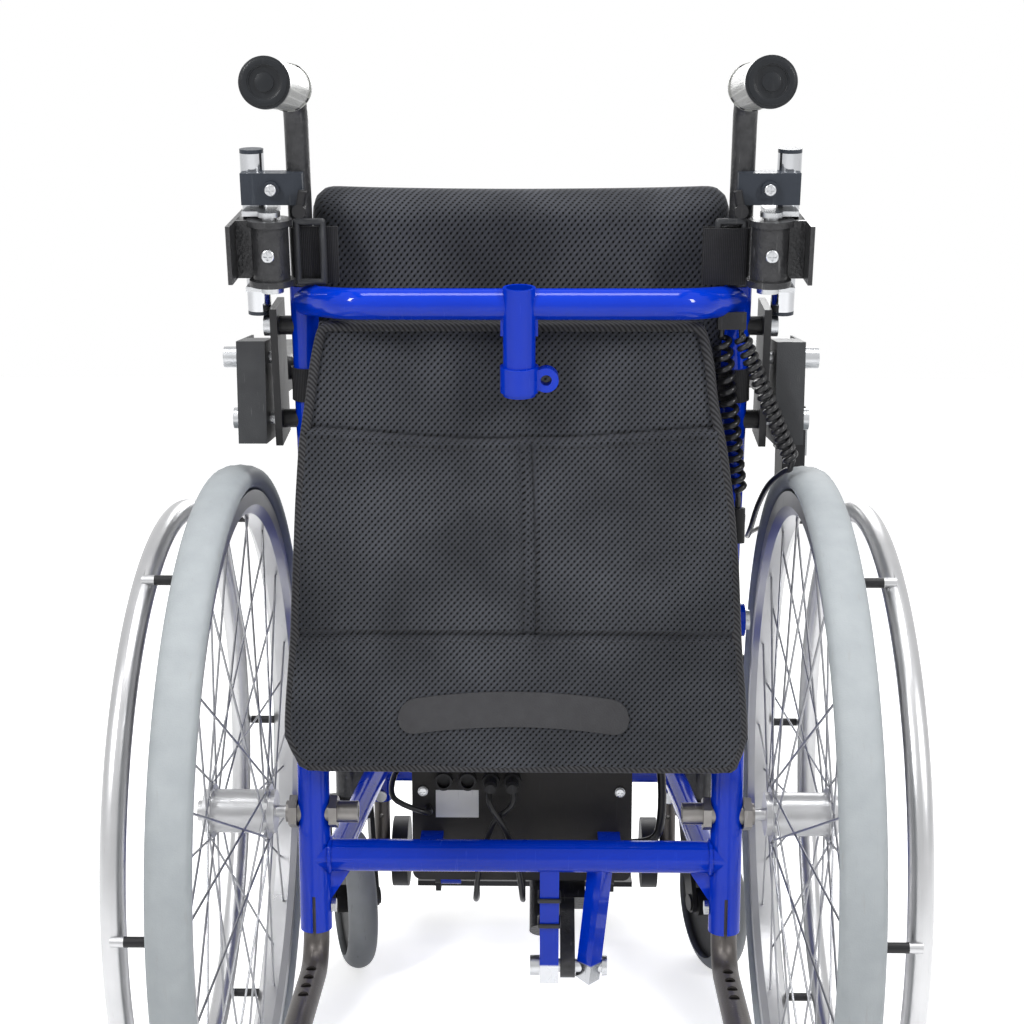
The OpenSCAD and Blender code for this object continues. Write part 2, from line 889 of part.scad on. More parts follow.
module frame_fasteners() {
    color([0.62, 0.62, 0.64]) from_axle() {
        x_rod(act_pin_x0, act_nut_x + act_nut_t, act_pin_y, act_pin_z, act_pin_r);
        x_rod(act_pin_x0, lug_x - lug_w / 2 - weld_gap, act_pin_y, act_pin_z, nut_r);
        x_rod(act_nut_x, act_nut_x + act_nut_t, act_pin_y, act_pin_z, nut_r);
        both_sides() {
            x_rod(knee_plate_x, seat_x + seat_tube_r + side_gap, knee_y, seat_z, pivot_r);
            x_rod(seat_x + seat_tube_r + side_gap, seat_x + seat_tube_r + side_gap + bolt_head_h, knee_y, seat_z, nut_r);
            x_rod(link_x - side_gap, upright_x, knee_y, link_z, link_pin_r);
            x_rod(link_x - side_gap - bolt_head_h, link_x - side_gap, knee_y, link_z, nut_r);
            x_rod(brake_plate_x, brake_hub_x + brake_hub_t + side_gap / 2, brake_y, brake_z, brake_pin_r);
            x_rod(brake_hub_x + brake_hub_t + side_gap / 2, brake_hub_x + brake_hub_t + side_gap / 2 + bolt_head_h,
                brake_y, brake_z, nut_r);
            hex_head(post_x - post_r - weld_gap - bolt_head_h, 0, post_bolt_z, [0, 90, 0]);
            y_rod(knee_y - upright_r - weld_gap - bolt_head_h, knee_y - upright_r - weld_gap, upright_x, strut_bolt_z, bolt_head_r);
        }
        for (s = box_screw_x_shares)
            y_rod(box_y - weld_gap - box_screw_h, box_y - weld_gap, box_x0 + s * box_w, box_screw_z, box_screw_r);
        translate([-upright_x, gate_y, gate_z - gate_barrel_h / 2 - gate_lug_t])
            cylinder(r = gate_pin_r, h = gate_barrel_h + 2 * gate_lug_t);
    }
}

module footrest_hangers() {
    color([0.02, 0.12, 0.72]) from_axle() both_sides() difference() {
        union() {
            translate([hanger_x, knee_y, foot_pivot_z]) cylinder(r = hanger_r, h = front_bar_z - foot_pivot_z);
            x_rod(hanger_x - hanger_r - eye_rim, hanger_x + hanger_r + eye_rim, knee_y, foot_pivot_z, hanger_r + eye_rim);
        }
        front_bar_shape(weld_gap);
        x_rod(hanger_x - hanger_r - eye_rim - over, hanger_x + hanger_r + eye_rim + over, knee_y, foot_pivot_z,
            foot_pin_r + run_gap);
    }
}

// Seat
module seat_frame() {
    color([0.02, 0.12, 0.72]) from_axle() difference() {
        union() {
            both_sides() {
                y_rod(hip_y, knee_y, seat_x, seat_z, seat_tube_r);
                for (y = [hip_y, knee_y]) x_rod(seat_x - eye_half_w, seat_x + eye_half_w, y, seat_z, eye_r);
            }
            for (y = seat_cross_ys) x_rod(-seat_x, seat_x, y, seat_cross_z, seat_cross_r);
            block([-seat_x, pan_y0, pan_z], [seat_x, knee_y - eye_r - side_gap, pan_z + pan_t]);
            for (x = [lift_x0, lift_x1]) x_plate(x, lift_t) {
                translate([lift_y, link_z]) circle(r = lift_r);
                translate([lift_y - lift_r, link_z]) square([2 * lift_r, seat_cross_z - link_z]);
            }
        }
        both_sides() for (y = [hip_y, knee_y])
            x_rod(seat_x - eye_half_w - over, seat_x + eye_half_w + over, y, seat_z, pivot_r + run_gap);
        x_rod(lift_x0 - over, lift_x1 + lift_t + over, lift_y, link_z, act_eye_pin_r + run_gap);
    }
}

// A closed skin through loops of an even number of points each, with flat ends
module skin(loops) {
    n = len(loops);
    m = len(loops[0]);
    pts = [for (l = loops) for (p = l) p];
    sides = [for (i = [0 : n - 2]) for (j = [0 : m - 1]) let (a = i * m + j, b = i * m + (j + 1) % m)
        each [[a, b, b + m], [a, b + m, a + m]]];
    last = (n - 1) * m;
    ends = [for (j = [0 : m / 2 - 2]) each [
        [j, m - 2 - j, j + 1], [j, m - 1 - j, m - 2 - j],
        [last + j, last + j + 1, last + m - 2 - j], [last + j, last + m - 2 - j, last + m - 1 - j]]];
    polyhedron(points = pts, faces = [for (f = concat(sides, ends)) [f[0], f[2], f[1]]]);
}

// One loop of a cushion: a box section, w half wide and h high, with round sides and a crown
function cushion_loop(w, h, crown, m) = [for (j = [0 : m - 1]) let (
    a = 360 * j / m,
    cx = sign(cos(a)) * pow(abs(cos(a)), 0.35),
    cz = sign(sin(a)) * pow(abs(sin(a)), 0.6),
    lift = max(0, sin(a)) * crown * (1 - cx * cx))
    [w * cx, h / 2 + (h / 2 - crown / 2) * cz + lift - crown / 2]];

module seat_cushion() {
    rows = 20;
    cols = 24;
    l = cushion_y1 - cushion_y0;
    edge = cushion_h / 2;
    shares = [for (i = [0 : rows]) let (t = i / rows) 0.5 - 0.5 * cos(180 * t)];
    color([0.07, 0.07, 0.08]) from_axle() skin([for (t = shares) let (
        y = t * l,
        near = min(y, l - y),
        e = near >= edge ? 1 : sqrt(max(0, 1 - pow(1 - near / edge, 2))),
        h = cushion_h * (0.55 + 0.45 * e),
        w = cushion_half_w - edge * 0.35 * (1 - e))
        [for (p = cushion_loop(w, h, cushion_h * 0.12, cols)) [p.x, cushion_y0 + y, cushion_z + p.y]]]);
}

// Backrest
module backrest_posts() {
    color([0.02, 0.12, 0.72]) from_axle() both_sides() difference() {
        union() {
            in_back() back_post_shape(0);
            difference() {
                x_plate(hip_plate_x, hip_plate_t) {
                    translate([hip_y - hip_plate_w / 2, link_z])
                        square([hip_plate_w, hip_plate_top - link_z]);
                    translate([hip_y, link_z]) circle(r = hip_plate_w / 2);
                }
                x_rod(hip_plate_x - over, hip_plate_x + hip_plate_t + over, hip_y, link_z, hip_link_bore_r);
                x_rod(hip_plate_x - over, hip_plate_x + hip_plate_t + over, hip_y, seat_z, pivot_r + weld_gap);
            }
        }
        in_back() translate([back_x, 0, up_back(back_bore_foot)])
            cylinder(r = back_bore_r, h = up_back(back_post_top) - up_back(back_bore_foot) + over);
    }
}

module top_bar() {
    end = back_y(top_bar_z, 0);
    bar_y = end - top_bar_back;
    tip = lerp([top_bar_half, bar_y, top_bar_z], [back_x, end, top_bar_z], top_bar_reach_share);
    color([0.02, 0.12, 0.72]) from_axle() difference() {
        union() {
            pipe([[-tip.x, tip.y, tip.z], [-top_bar_half, bar_y, top_bar_z], [top_bar_half, bar_y, top_bar_z], tip],
                top_bar_r, top_bar_bend_r);
            in_back() {
                translate([0, socket_off, up_back(socket_tube_foot)])
                    cylinder(r = socket_tube_r, h = up_back(socket_tube_top) - up_back(socket_tube_foot));
                translate([0, socket_off, up_back(collar_foot)])
                    cylinder(r = collar_r, h = up_back(collar_top) - up_back(collar_foot));
                for (s = [-1, 1]) block([s * socket_tube_r - socket_gusset_t / 2, socket_off, up_back(socket_gusset_foot)],
                    [s * socket_tube_r + socket_gusset_t / 2, socket_off + socket_tube_r, up_back(top_bar_z)]);
                ear_h = up_back((collar_foot + collar_top) / 2);
                y_rod(socket_off - collar_ear_t / 2, socket_off + collar_ear_t / 2, collar_ear_x, ear_h, collar_ear_r);
                block([0, socket_off - collar_ear_t / 2, ear_h - collar_ear_r * collar_ear_neck_share],
                    [collar_ear_x, socket_off + collar_ear_t / 2, ear_h + collar_ear_r * collar_ear_neck_share]);
            }
        }
        in_back() {
            both_sides() {
                back_post_shape(weld_gap);
                handle_stem_shape(weld_gap);
            }
            translate([0, socket_off, up_back(socket_tube_foot) - over]) cylinder(r = socket_tube_bore_r,
                h = up_back(socket_tube_top) - up_back(socket_tube_foot) + 2 * top_bar_r);
            y_rod(socket_off - collar_ear_t, socket_off + collar_ear_t, collar_ear_x,
                up_back((collar_foot + collar_top) / 2), collar_hole_r);
        }
    }
}

module back_cushion() {
    rows = 20;
    cols = 24;
    off0 = back_post_r + back_cushion_gap;
    h0 = up_back(back_cushion_foot);
    l = up_back(back_cushion_top) - h0;
    edge = back_cushion_t / 2;
    shares = [for (i = [0 : rows]) let (t = i / rows) 0.5 - 0.5 * cos(180 * t)];
    color([0.1, 0.1, 0.11]) from_axle() in_back() {
        skin([for (t = shares) let (
            h = t * l,
            near = min(h, l - h),
            e = near >= edge ? 1 : sqrt(max(0, 1 - pow(1 - near / edge, 2))),
            d = back_cushion_t * (0.5 + 0.5 * e),
            w = lerp(back_cushion_half_foot, back_cushion_half_top, t) - edge * 0.5 * (1 - e))
            [for (p = cushion_loop(w, d, back_cushion_t * 0.12, cols)) [-p.x, off0 + p.y, h0 + h]]]);
        both_sides() difference() {
            translate([back_x, 0, up_back(post_strap_foot)])
                cylinder(r = back_post_r + weld_gap + post_strap_t, h = up_back(post_strap_top) - up_back(post_strap_foot));
            back_post_shape(weld_gap);
            translate([back_x - 2 * back_post_r, back_post_r, up_back(post_strap_foot) - over])
                cube([4 * back_post_r, back_post_r, up_back(post_strap_top) - up_back(post_strap_foot) + 2 * over]);
        }
    }
}

// How far the flap's rear face stands out at a share of its width and of its height
function flap_relief(u, v) = let (
    edge = min(u, 1 - u, v, 1 - v),
    bulge = flap_bulge * sin(180 * u) * sin(180 * min(1, v / flap_pocket_share)),
    seam = v > flap_band_share && v < flap_pocket_share ? exp(-pow((u - 0.53) / 0.03, 2)) : 0,
    band = exp(-pow((v - flap_band_share) / 0.02, 2)),
    pocket = v < flap_pocket_share ? 1 : 0,
    bound = edge < flap_edge_w_share ? 1 : 0)
    bulge * (1 - 0.7 * seam) * (1 - 0.5 * band) + 2 * pocket * (1 - seam) - 2 * band + 1.5 * bound;

module rear_flap() {
    h = flap_top - flap_foot;
    vs = [for (i = [0 : flap_rows]) i < 3 ? 0.02 * i : 0.04 + 0.96 * (i - 2) / (flap_rows - 2)];
    us = [for (j = [0 : flap_cols]) 0.5 - 0.5 * cos(180 * j / flap_cols)];
    xl = [for (v = vs) flap_half_w * lookup(v, [for (i = [0 : 10]) [flap_height_shares[i], flap_left_shares[i]]])];
    xr = [for (v = vs) flap_half_w * lookup(v, [for (i = [0 : 10]) [flap_height_shares[i], flap_right_shares[i]]])];
    color([0.12, 0.12, 0.13]) from_axle() skin([for (i = [0 : flap_rows]) concat(
        [for (j = [0 : flap_cols]) [lerp(xl[i], xr[i], us[j]), flap_front - flap_t - flap_relief(us[j], vs[i]) + 2,
            flap_foot + vs[i] * h]],
        [for (j = [flap_cols : -1 : 0]) [lerp(xl[i], xr[i], us[j]), flap_front, flap_foot + vs[i] * h]])]);
}

module push_handles() {
    corner_y = back_y(grip_z + grip_drop / 2, 0);
    color([0.3, 0.3, 0.31]) from_axle() both_sides() {
        pipe([[back_x, back_y(handle_foot, 0), handle_foot], [back_x, corner_y, grip_z + grip_drop / 2],
            [back_x, corner_y - grip_start - grip_l, grip_z - grip_drop / 2]], handle_r, handle_bend_r);
    }
}

// Along the grip from its front end
module in_grip() {
    corner_y = back_y(grip_z + grip_drop / 2, 0);
    run = grip_start + grip_l;
    a = atan2(grip_drop, run);
    translate([back_x, corner_y, grip_z + grip_drop / 2]) rotate([90 + a, 0, 0]) children();
}

module handle_grips() {
    color([0.42, 0.42, 0.43]) from_axle() both_sides() in_grip() difference() {
        union() {
            translate([0, 0, grip_start]) cylinder(r = grip_r, h = grip_l);
            translate([0, 0, grip_start + grip_l]) cylinder(r = grip_ring_r, h = grip_cap_t);
            translate([0, 0, grip_start]) cylinder(r = grip_ring_r, h = grip_ring_t);
        }
        translate([0, 0, grip_start - over]) cylinder(r = grip_bore_r, h = grip_l + over + weld_gap);
        translate([0, 0, grip_start + grip_l + grip_cap_t - grip_cap_recess])
            cylinder(r = grip_r - grip_ring_t, h = grip_cap_recess + over);
    }
}

module chrome_rails() {
    color([0.85, 0.85, 0.87]) from_axle() both_sides() in_back() chrome_shape(0);
}

module rail_clamps() {
    color([0.05, 0.05, 0.05]) from_axle() both_sides() in_back() {
        h = up_back(clamp_z);
        difference() {
            block([clamp_x0, clamp_off0, h - clamp_h / 2], [clamp_x1, clamp_off1, h + clamp_h / 2]);
            handle_stem_shape(weld_gap);
            chrome_shape(weld_gap);
        }
        y_rod(clamp_off0 - bolt_head_h, clamp_off0 + over, clamp_bolt_x, h, bolt_head_r);
        for (z = [chrome_foot, chrome_top]) translate([chrome_x, 0, up_back(z) - (z == chrome_foot ? chrome_plug_h + weld_gap : -weld_gap)])
            cylinder(r = chrome_r, h = chrome_plug_h);
    }
}

module side_plates() {
    color([0.06, 0.06, 0.06]) from_axle() both_sides() in_back() {
        h0 = up_back(side_plate_foot);
        h1 = up_back(side_plate_top);
        block([side_plate_x, side_plate_off0, h0], [side_plate_x + side_plate_t, side_plate_off0 + side_plate_w, h1]);
        for (z = spacer_zs) difference() {
            x_rod(back_x, side_plate_x + over, 0, up_back(z), spacer_r);
            back_post_shape(weld_gap);
        }
    }
}

module armrest_boxes() {
    color([0.62, 0.62, 0.63]) from_axle() both_sides() difference() {
        block([arm_box_x0, arm_box_y0, arm_box_foot], [arm_box_x1, arm_box_y1, arm_box_top]);
        block([arm_box_x0 + arm_box_wall, arm_box_y0 + arm_box_wall, arm_box_foot + arm_box_wall],
            [arm_box_x1 - arm_box_wall, arm_box_open_y, arm_box_top - arm_box_wall]);
        block([arm_box_x0 + arm_box_wall, arm_box_open_y - over, arm_box_foot + arm_box_wall],
            [arm_box_x1 - arm_box_wall, arm_box_y1 + over, arm_box_top + over]);
        x_rod(arm_box_x0 - over, arm_box_x1 + over, arm_pivot_y, arm_pivot_z, arm_pin_r + weld_gap);
    }
}

module back_fasteners() {
    color([0.6, 0.6, 0.62]) from_axle() both_sides() {
        x_rod(hip_plate_x, seat_x + seat_tube_r + side_gap, hip_y, seat_z, pivot_r);
        x_rod(seat_x + seat_tube_r + side_gap, seat_x + seat_tube_r + side_gap + bolt_head_h, hip_y, seat_z, nut_r);
        side_x = side_plate_x + side_plate_t + weld_gap;
        in_back() x_rod(side_x, side_x + nut_t, 0, up_back(spacer_zs[0]), side_nut_r);
        x_rod(side_x, arm_box_x0 - weld_gap, box_bolt_y, box_bolt_z, arm_pin_r);
        x_rod(side_x, arm_box_x0 - weld_gap, box_bolt_y, big_nut_z, arm_pin_r);
        x_rod(arm_box_x1 + weld_gap, arm_box_x1 + weld_gap + nut_t, box_bolt_y, big_nut_z, nut_r);
        x_rod(arm_box_x1 + weld_gap, arm_box_x1 + weld_gap + 2 * nut_t, box_bolt_y, box_bolt_z, nut_r);
        x_rod(arm_box_x0 - bolt_head_h / 2, arm_box_x1 + bolt_head_h / 2, arm_pivot_y, arm_pivot_z, arm_pin_r);
        in_back() {
            translate([arm_axis_x, arm_axis_off, up_back(arm_barrel_foot) - 2 * side_gap - over])
                cylinder(r = arm_stud_r, h = up_back(arm_barrel_top) - up_back(arm_barrel_foot) + 4 * side_gap + 2 * over);
            chest_bracket(up_back(arm_barrel_foot) - 2 * side_gap - bolt_head_h);
            chest_bracket(up_back(arm_barrel_top) + 2 * side_gap);
            y_rod(lever_off1, -handle_r - weld_gap, lever_x, up_back(lever_z), lever_stud_r);
        }
    }
}

// A flat ear that holds one end of the chest arm's stud on the chrome rail
module chest_bracket(h) {
    difference() {
        union() {
            translate([arm_axis_x, arm_axis_off, h]) cylinder(r = nut_r, h = bolt_head_h);
            block([arm_axis_x - nut_r / 2, arm_axis_off, h], [chrome_x + chrome_r / 2, 0, h + bolt_head_h]);
        }
        chrome_shape(weld_gap);
    }
}

module belt_loops() {
    color([0.05, 0.05, 0.05]) from_axle() both_sides() in_back() {
        h0 = up_back(loop_foot) + loop_wire_r;
        h1 = up_back(loop_top) - loop_wire_r;
        x0 = loop_x0 + loop_wire_r;
        x1 = loop_x1 - loop_wire_r;
        for (h = [h0, h1]) x_rod(x0, x1, loop_off, h, loop_wire_r);
        for (x = [x0, x1]) translate([x, loop_off, h0]) cylinder(r = loop_wire_r, h = h1 - h0);
        for (x = [x0, x1], h = [h0, h1]) translate([x, loop_off, h]) sphere(r = loop_wire_r);
        difference() {
            block([back_x - loop_wire_r, loop_off, h1 - loop_wire_r], [x1, 0, h1 + loop_wire_r]);
            handle_stem_shape(weld_gap);
        }
    }
}

module chest_straps() {
    color([0.04, 0.04, 0.04]) from_axle() both_sides() in_back() {
        h0 = up_back(strap_foot);
        front = loop_off + loop_wire_r + soft_gap;
        rear = loop_off - loop_wire_r - soft_gap;
        block([strap_x0, front, h0], [strap_turn_x, front + strap_t, h0 + strap_h]);
        block([strap_x0, rear - strap_t, h0], [strap_turn_x, rear, h0 + strap_h]);
        block([strap_turn_x - strap_t + side_gap, rear - strap_t, h0], [strap_turn_x + side_gap, front + strap_t, h0 + strap_h]);
    }
}

// Curly cord
cord_conn = [186, 11.5, 575];
cord_tie_x0 = 161;
cord_tie_x1 = 184;
cord_tie_y0 = -36.5;
cord_tie_y1 = -23.5;
cord_tie_foot = 730;
cord_tie_h = 14;
conn_r = 6.4;
conn_l = 30;
conn_band_t = 3.4;
conn_band_h = 6;
coil_a_foot = [185, 6, 590];
coil_a_top = [165, -27, 725];
coil_b_top = [180.5, -33, 725];
coil_b_foot = [227, -17, 619];
tail_a = [[186, 11.5, 575.1], [186, 11.5, 580], [186, 9.5, 585]];
over_tie = [[165, -27, 730], [167, -28, 735], [173, -30, 737], [179, -32, 735], [180.5, -33, 730]];
tail_b = [[226, -12, 612], [221, 0, 607], [213, 25, 592], [209, 60, 568], [209, 100, 543], [211, 140, 527],
    [215, 175, 520], [221, 203, 518], [230, 222, 518], [241, 234, 519], [252, 237, 523], [259, 234, 528],
    [261, 230.5, 531.5], [261, 230, 536.9]];

// A point on a curve through pts at share t of the stretch from point i to the next
function spline_at(pts, i, t) = let (
    n = len(pts),
    a = pts[max(0, i - 1)],
    b = pts[i],
    c = pts[i + 1],
    d = pts[min(n - 1, i + 2)])
    0.5 * (2 * b + (c - a) * t + (2 * a - 5 * b + 4 * c - d) * t * t + (3 * b - a - 3 * c + d) * t * t * t);

// A coil from p to q of outer radius r, drawn in to its axis over half a turn at each end
function coil(p, q, r, turns) = let (
    n = turns * coil_rings,
    w = unit(q - p),
    e1 = unit(cross(w, [0, 1, 0])),
    e2 = cross(w, e1))
    [for (i = [0 : n]) let (
        t = i / n,
        a = 360 * i / coil_rings,
        s = min(1, i / coil_rings * 2, (n - i) / coil_rings * 2))
        lerp(p, q, t) + (r - cord_r) * s * (cos(a) * e1 + sin(a) * e2)];

function cord_path() = concat(tail_a, coil(coil_a_foot, coil_a_top, coil_a_r, coil_a_turns), over_tie,
    coil(coil_b_top, coil_b_foot, coil_b_r, coil_b_turns),
    [for (i = [0 : len(tail_b) - 2]) for (t = [0, 0.5]) spline_at(tail_b, i, t)], [tail_b[len(tail_b) - 1]]);

// The direction of the path at each point
function path_dirs(pts) = [for (i = [0 : len(pts) - 1]) unit(pts[min(len(pts) - 1, i + 1)] - pts[max(0, i - 1)])];

// A side direction carried along the path without twist
function carried(dirs) = [for (i = 0, u = unit(cross(dirs[0], [0.3, 1, 0.1])); i < len(dirs);
    i = i + 1, u = i < len(dirs) ? unit(u - (u * dirs[i]) * dirs[i]) : u) u];

function path_gap(pts, r, far) = min([for (i = [0 : len(pts) - 1 - far]) for (j = [i + far : len(pts) - 1])
    norm(pts[i] - pts[j])]) - 2 * r;

module cord_tube(pts, r, m) {
    dirs = path_dirs(pts);
    us = carried(dirs);
    skin([for (i = [0 : len(pts) - 1]) let (v = cross(dirs[i], us[i]))
        [for (j = [0 : m - 1]) pts[i] + r * (cos(360 * j / m) * us[i] + sin(360 * j / m) * v)]]);
}

module curly_cord() {
    pts = cord_path();
    echo(least_self_gap = path_gap(pts, cord_r, 6));
    color([0.05, 0.05, 0.05]) from_axle() cord_tube(pts, cord_r, cord_sides);
}

module cord_fittings() {
    end = back_y(top_bar_z, 0);
    color([0.05, 0.05, 0.05]) from_axle() {
        difference() {
            block([cord_tie_x0, cord_tie_y0, cord_tie_foot], [cord_tie_x1, cord_tie_y1, cord_tie_foot + cord_tie_h]);
            rod([top_bar_half, end - top_bar_back, top_bar_z], [back_x, end, top_bar_z], top_bar_r + weld_gap);
        }
        translate(cord_conn - [0, 0, conn_l]) cylinder(r = conn_r, h = conn_l);
        in_back() difference() {
            translate([back_x, 0, up_back(cord_conn.z - conn_l / 2)])
                cylinder(r = back_post_r + weld_gap + conn_band_t, h = conn_band_h);
            back_post_shape(weld_gap);
        }
    }
}

// Chest arms and clamp levers
module chest_arm(side) {
    color([0.5, 0.5, 0.52]) from_axle() on_side(side) in_back() {
        h0 = up_back(arm_barrel_foot);
        h1 = up_back(arm_barrel_top);
        p0 = up_back(arm_plate_foot);
        p1 = up_back(arm_plate_top);
        difference() {
            union() {
                translate([arm_axis_x, arm_axis_off, h0]) cylinder(r = arm_barrel_r, h = h1 - h0);
                for (h = [h0, h1 - arm_flange_h]) translate([arm_axis_x, arm_axis_off, h])
                    cylinder(r = arm_flange_r, h = arm_flange_h);
                block([arm_axis_x, arm_axis_off + arm_web_off0, p0],
                    [arm_plate_x + arm_plate_t / 2, arm_axis_off + arm_web_off0 + arm_web_t, p1]);
                block([arm_plate_x, arm_axis_off - arm_plate_back, p0],
                    [arm_plate_x + arm_plate_t, arm_axis_off + arm_plate_front, p1]);
            }
            translate([arm_axis_x, arm_axis_off, h0 - over]) cylinder(r = arm_stud_r + run_gap, h = h1 - h0 + 2 * over);
        }
    }
}

module left_chest_arm() {
    chest_arm(-1);
}

module right_chest_arm() {
    chest_arm(1);
}

module clamp_lever(side) {
    h = up_back(lever_z);
    color([0.05, 0.05, 0.05]) from_axle() on_side(side) in_back() {
        y_rod(lever_off0, lever_off1 - weld_gap, lever_x, h, lever_hub_r);
        rod([lever_x, (lever_off0 + lever_off1) / 2, h], [lever_x + lever_tip_dx, (lever_off0 + lever_off1) / 2, h + lever_tip_dz],
            lever_arm_r);
    }
}

module left_clamp_lever() {
    clamp_lever(-1);
}

module right_clamp_lever() {
    clamp_lever(1);
}

// Armrests
module bar2d(p, q, r) {
    d = q - p;
    translate(p) circle(r = r);
    translate(q) circle(r = r);
    translate(p) rotate(atan2(d.y, d.x)) translate([0, -r]) square([norm(d), 2 * r]);
}

module armrest(side) {
    x0 = arm_box_x0 + arm_box_wall + arm_eye_gap;
    x1 = arm_box_x1 - arm_box_wall - arm_eye_gap;
    color([0.3, 0.3, 0.31]) from_axle() on_side(side) difference() {
        union() {
            x_plate(x0, x1 - x0) {
                translate([arm_pivot_y, arm_pivot_z]) circle(r = arm_eye_r);
                translate([arm_bar_y0, arm_bar_foot]) square([pad_y0 + pad_l - arm_bar_y0, arm_bar_top - arm_bar_foot]);
                translate([arm_bar_y0, arm_bar_foot]) square([arm_pivot_y - arm_bar_y0 + arm_eye_r, arm_pivot_z - arm_bar_foot]);
            }
            if (side > 0) {
                block([x0, handset_y + holder_in, arm_bar_foot - holder_t],
                    [handset_x, handset_y + handset_w - holder_in, arm_bar_foot + over]);
                block([handset_x - holder_t, handset_y + holder_in, handset_z + handset_h * holder_share],
                    [handset_x - weld_gap, handset_y + handset_w - holder_in, arm_bar_foot]);
            }
        }
        x_rod(arm_box_x0, arm_box_x1, arm_pivot_y, arm_pivot_z, arm_pin_r + run_gap);
    }
}

module left_armrest() {
    armrest(-1);
}

module right_armrest() {
    armrest(1);
}

module armrest_pad(side) {
    r = pad_edge_r;
    color([0.04, 0.04, 0.04]) from_axle() on_side(side) hull()
        for (x = [pad_mid_x - pad_w / 2 + r, pad_mid_x + pad_w / 2 - r], z = [arm_bar_top + weld_gap + r, arm_top - r])
            y_rod(pad_y0, pad_y0 + pad_l, x, z, r);
}

module left_armrest_pad() {
    armrest_pad(-1);
}

module right_armrest_pad() {
    armrest_pad(1);
}

// Handset
rocker_y = handset_y + handset_w / 2;
rocker_z = handset_z + handset_h * rocker_at_share;
rocker_x = handset_x + handset_t - rocker_axis_in;

module handset() {
    r = handset_edge_r;
    color([0.06, 0.06, 0.06]) from_axle() difference() {
        union() {
            hull() for (y = [handset_y + r, handset_y + handset_w - r], z = [handset_z + r, handset_z + handset_h - r])
                x_rod(handset_x, handset_x + handset_t, y, z, r);
            translate([handset_x + handset_t / 2, handset_y + handset_w / 2, handset_z - handset_neck_h])
                cylinder(r = handset_neck_r, h = handset_neck_h + over);
        }
        block([rocker_x - rocker_t / 2, rocker_y - rocker_w / 2 - rocker_gap, rocker_z - rocker_h / 2 - rocker_gap],
            [handset_x + handset_t + over, rocker_y + rocker_w / 2 + rocker_gap, rocker_z + rocker_h / 2 + rocker_gap]);
        y_rod(rocker_y - rocker_w / 2 - 3 * rocker_gap, rocker_y + rocker_w / 2 + 3 * rocker_gap, rocker_x, rocker_z,
            rocker_pin_r + run_gap);
    }
}

module handset_rocker() {
    color([0.3, 0.3, 0.31]) from_axle() {
        block([rocker_x - weld_gap, rocker_y - rocker_w / 2, rocker_z - rocker_h / 2],
            [rocker_x + rocker_t, rocker_y + rocker_w / 2, rocker_z + rocker_h / 2]);
        y_rod(rocker_y - rocker_w / 2 - 2 * rocker_gap, rocker_y + rocker_w / 2 + 2 * rocker_gap, rocker_x, rocker_z, rocker_pin_r);
    }
}

// Rear wheels
module in_wheel() {
    translate([wheel_x, 0, wheel_r]) rotate([0, 90, 0]) children();
}

module tyre(side) {
    color([0.4, 0.4, 0.4]) from_axle() on_side(side) in_wheel() rotate_extrude() intersection() {
        translate([wheel_r - tyre_w / 2, 0]) circle(r = tyre_w / 2);
        translate([wheel_r - tyre_h, -tyre_w]) square([2 * tyre_h, 2 * tyre_w]);
    }
}

module rim(side) {
    r1 = wheel_r - tyre_h - weld_gap;
    r0 = r1 - rim_h;
    color([0.72, 0.72, 0.74]) from_axle() on_side(side) in_wheel() rotate_extrude() polygon([
        [r0, -rim_neck_w / 2], [r0 + rim_slope_h, -rim_w / 2], [r1, -rim_w / 2],
        [r1, rim_w / 2], [r0 + rim_slope_h, rim_w / 2], [r0, rim_neck_w / 2]]);
}

module pushrim(side) {
    standoff_at = wheel_r - tyre_h - rim_h + rim_slope_h + standoff_r;
    color([0.72, 0.72, 0.74]) from_axle() on_side(side) translate([0, 0, wheel_r]) {
        translate([pushrim_x, 0, 0]) rotate([0, 90, 0]) rotate_extrude() translate([pushrim_r, 0]) circle(r = pushrim_tube_r);
        for (i = [0 : standoff_count - 1]) rotate([360 * (i + 0.5) / standoff_count, 0, 0])
            rod([wheel_x + rim_w / 2 + weld_gap, 0, standoff_at],
                [pushrim_x, 0, pushrim_r + pushrim_tube_r - standoff_lap], standoff_r);
    }
}

module hub(side) {
    x0 = wheel_x - hub_w / 2;
    x1 = wheel_x + hub_w / 2;
    color([0.72, 0.72, 0.74]) from_axle() on_side(side) translate([0, 0, wheel_r]) {
        x_rod(x0, x1, 0, 0, hub_r);
        for (x = [x0 + hub_flange_in, x1 - hub_flange_in - hub_flange_t]) x_rod(x, x + hub_flange_t, 0, 0, hub_flange_r);
        x_rod(sleeve_x0 + side_gap, x1 + axle_button_t, 0, 0, axle_r);
        x_rod(x1, x1 + axle_button_t, 0, 0, axle_button_r);
    }
}

module spokes(side) {
    rim_in = wheel_r - tyre_h - 2 * weld_gap - rim_h;
    r = hub_flange_r + spoke_r + weld_gap;
    color([0.75, 0.75, 0.77]) from_axle() on_side(side) translate([0, 0, wheel_r]) for (i = [0 : spoke_count - 1]) {
        s = i % 2 == 0 ? -1 : 1;
        a = 360 * i / spoke_count;
        b = a + (floor(i / 2) % 2 == 0 ? spoke_lead : -spoke_lead);
        rod([wheel_x + s * (hub_w / 2 - hub_flange_in - hub_flange_t / 2), r * cos(b), r * sin(b)],
            [wheel_x + s * spoke_rim_x, rim_in * cos(a), rim_in * sin(a)], spoke_r);
    }
}

module left_tyre() {
    tyre(-1);
}

module left_rim() {
    rim(-1);
}

module left_pushrim() {
    pushrim(-1);
}

module left_hub() {
    hub(-1);
}

module left_spokes() {
    spokes(-1);
}

module right_tyre() {
    tyre(1);
}

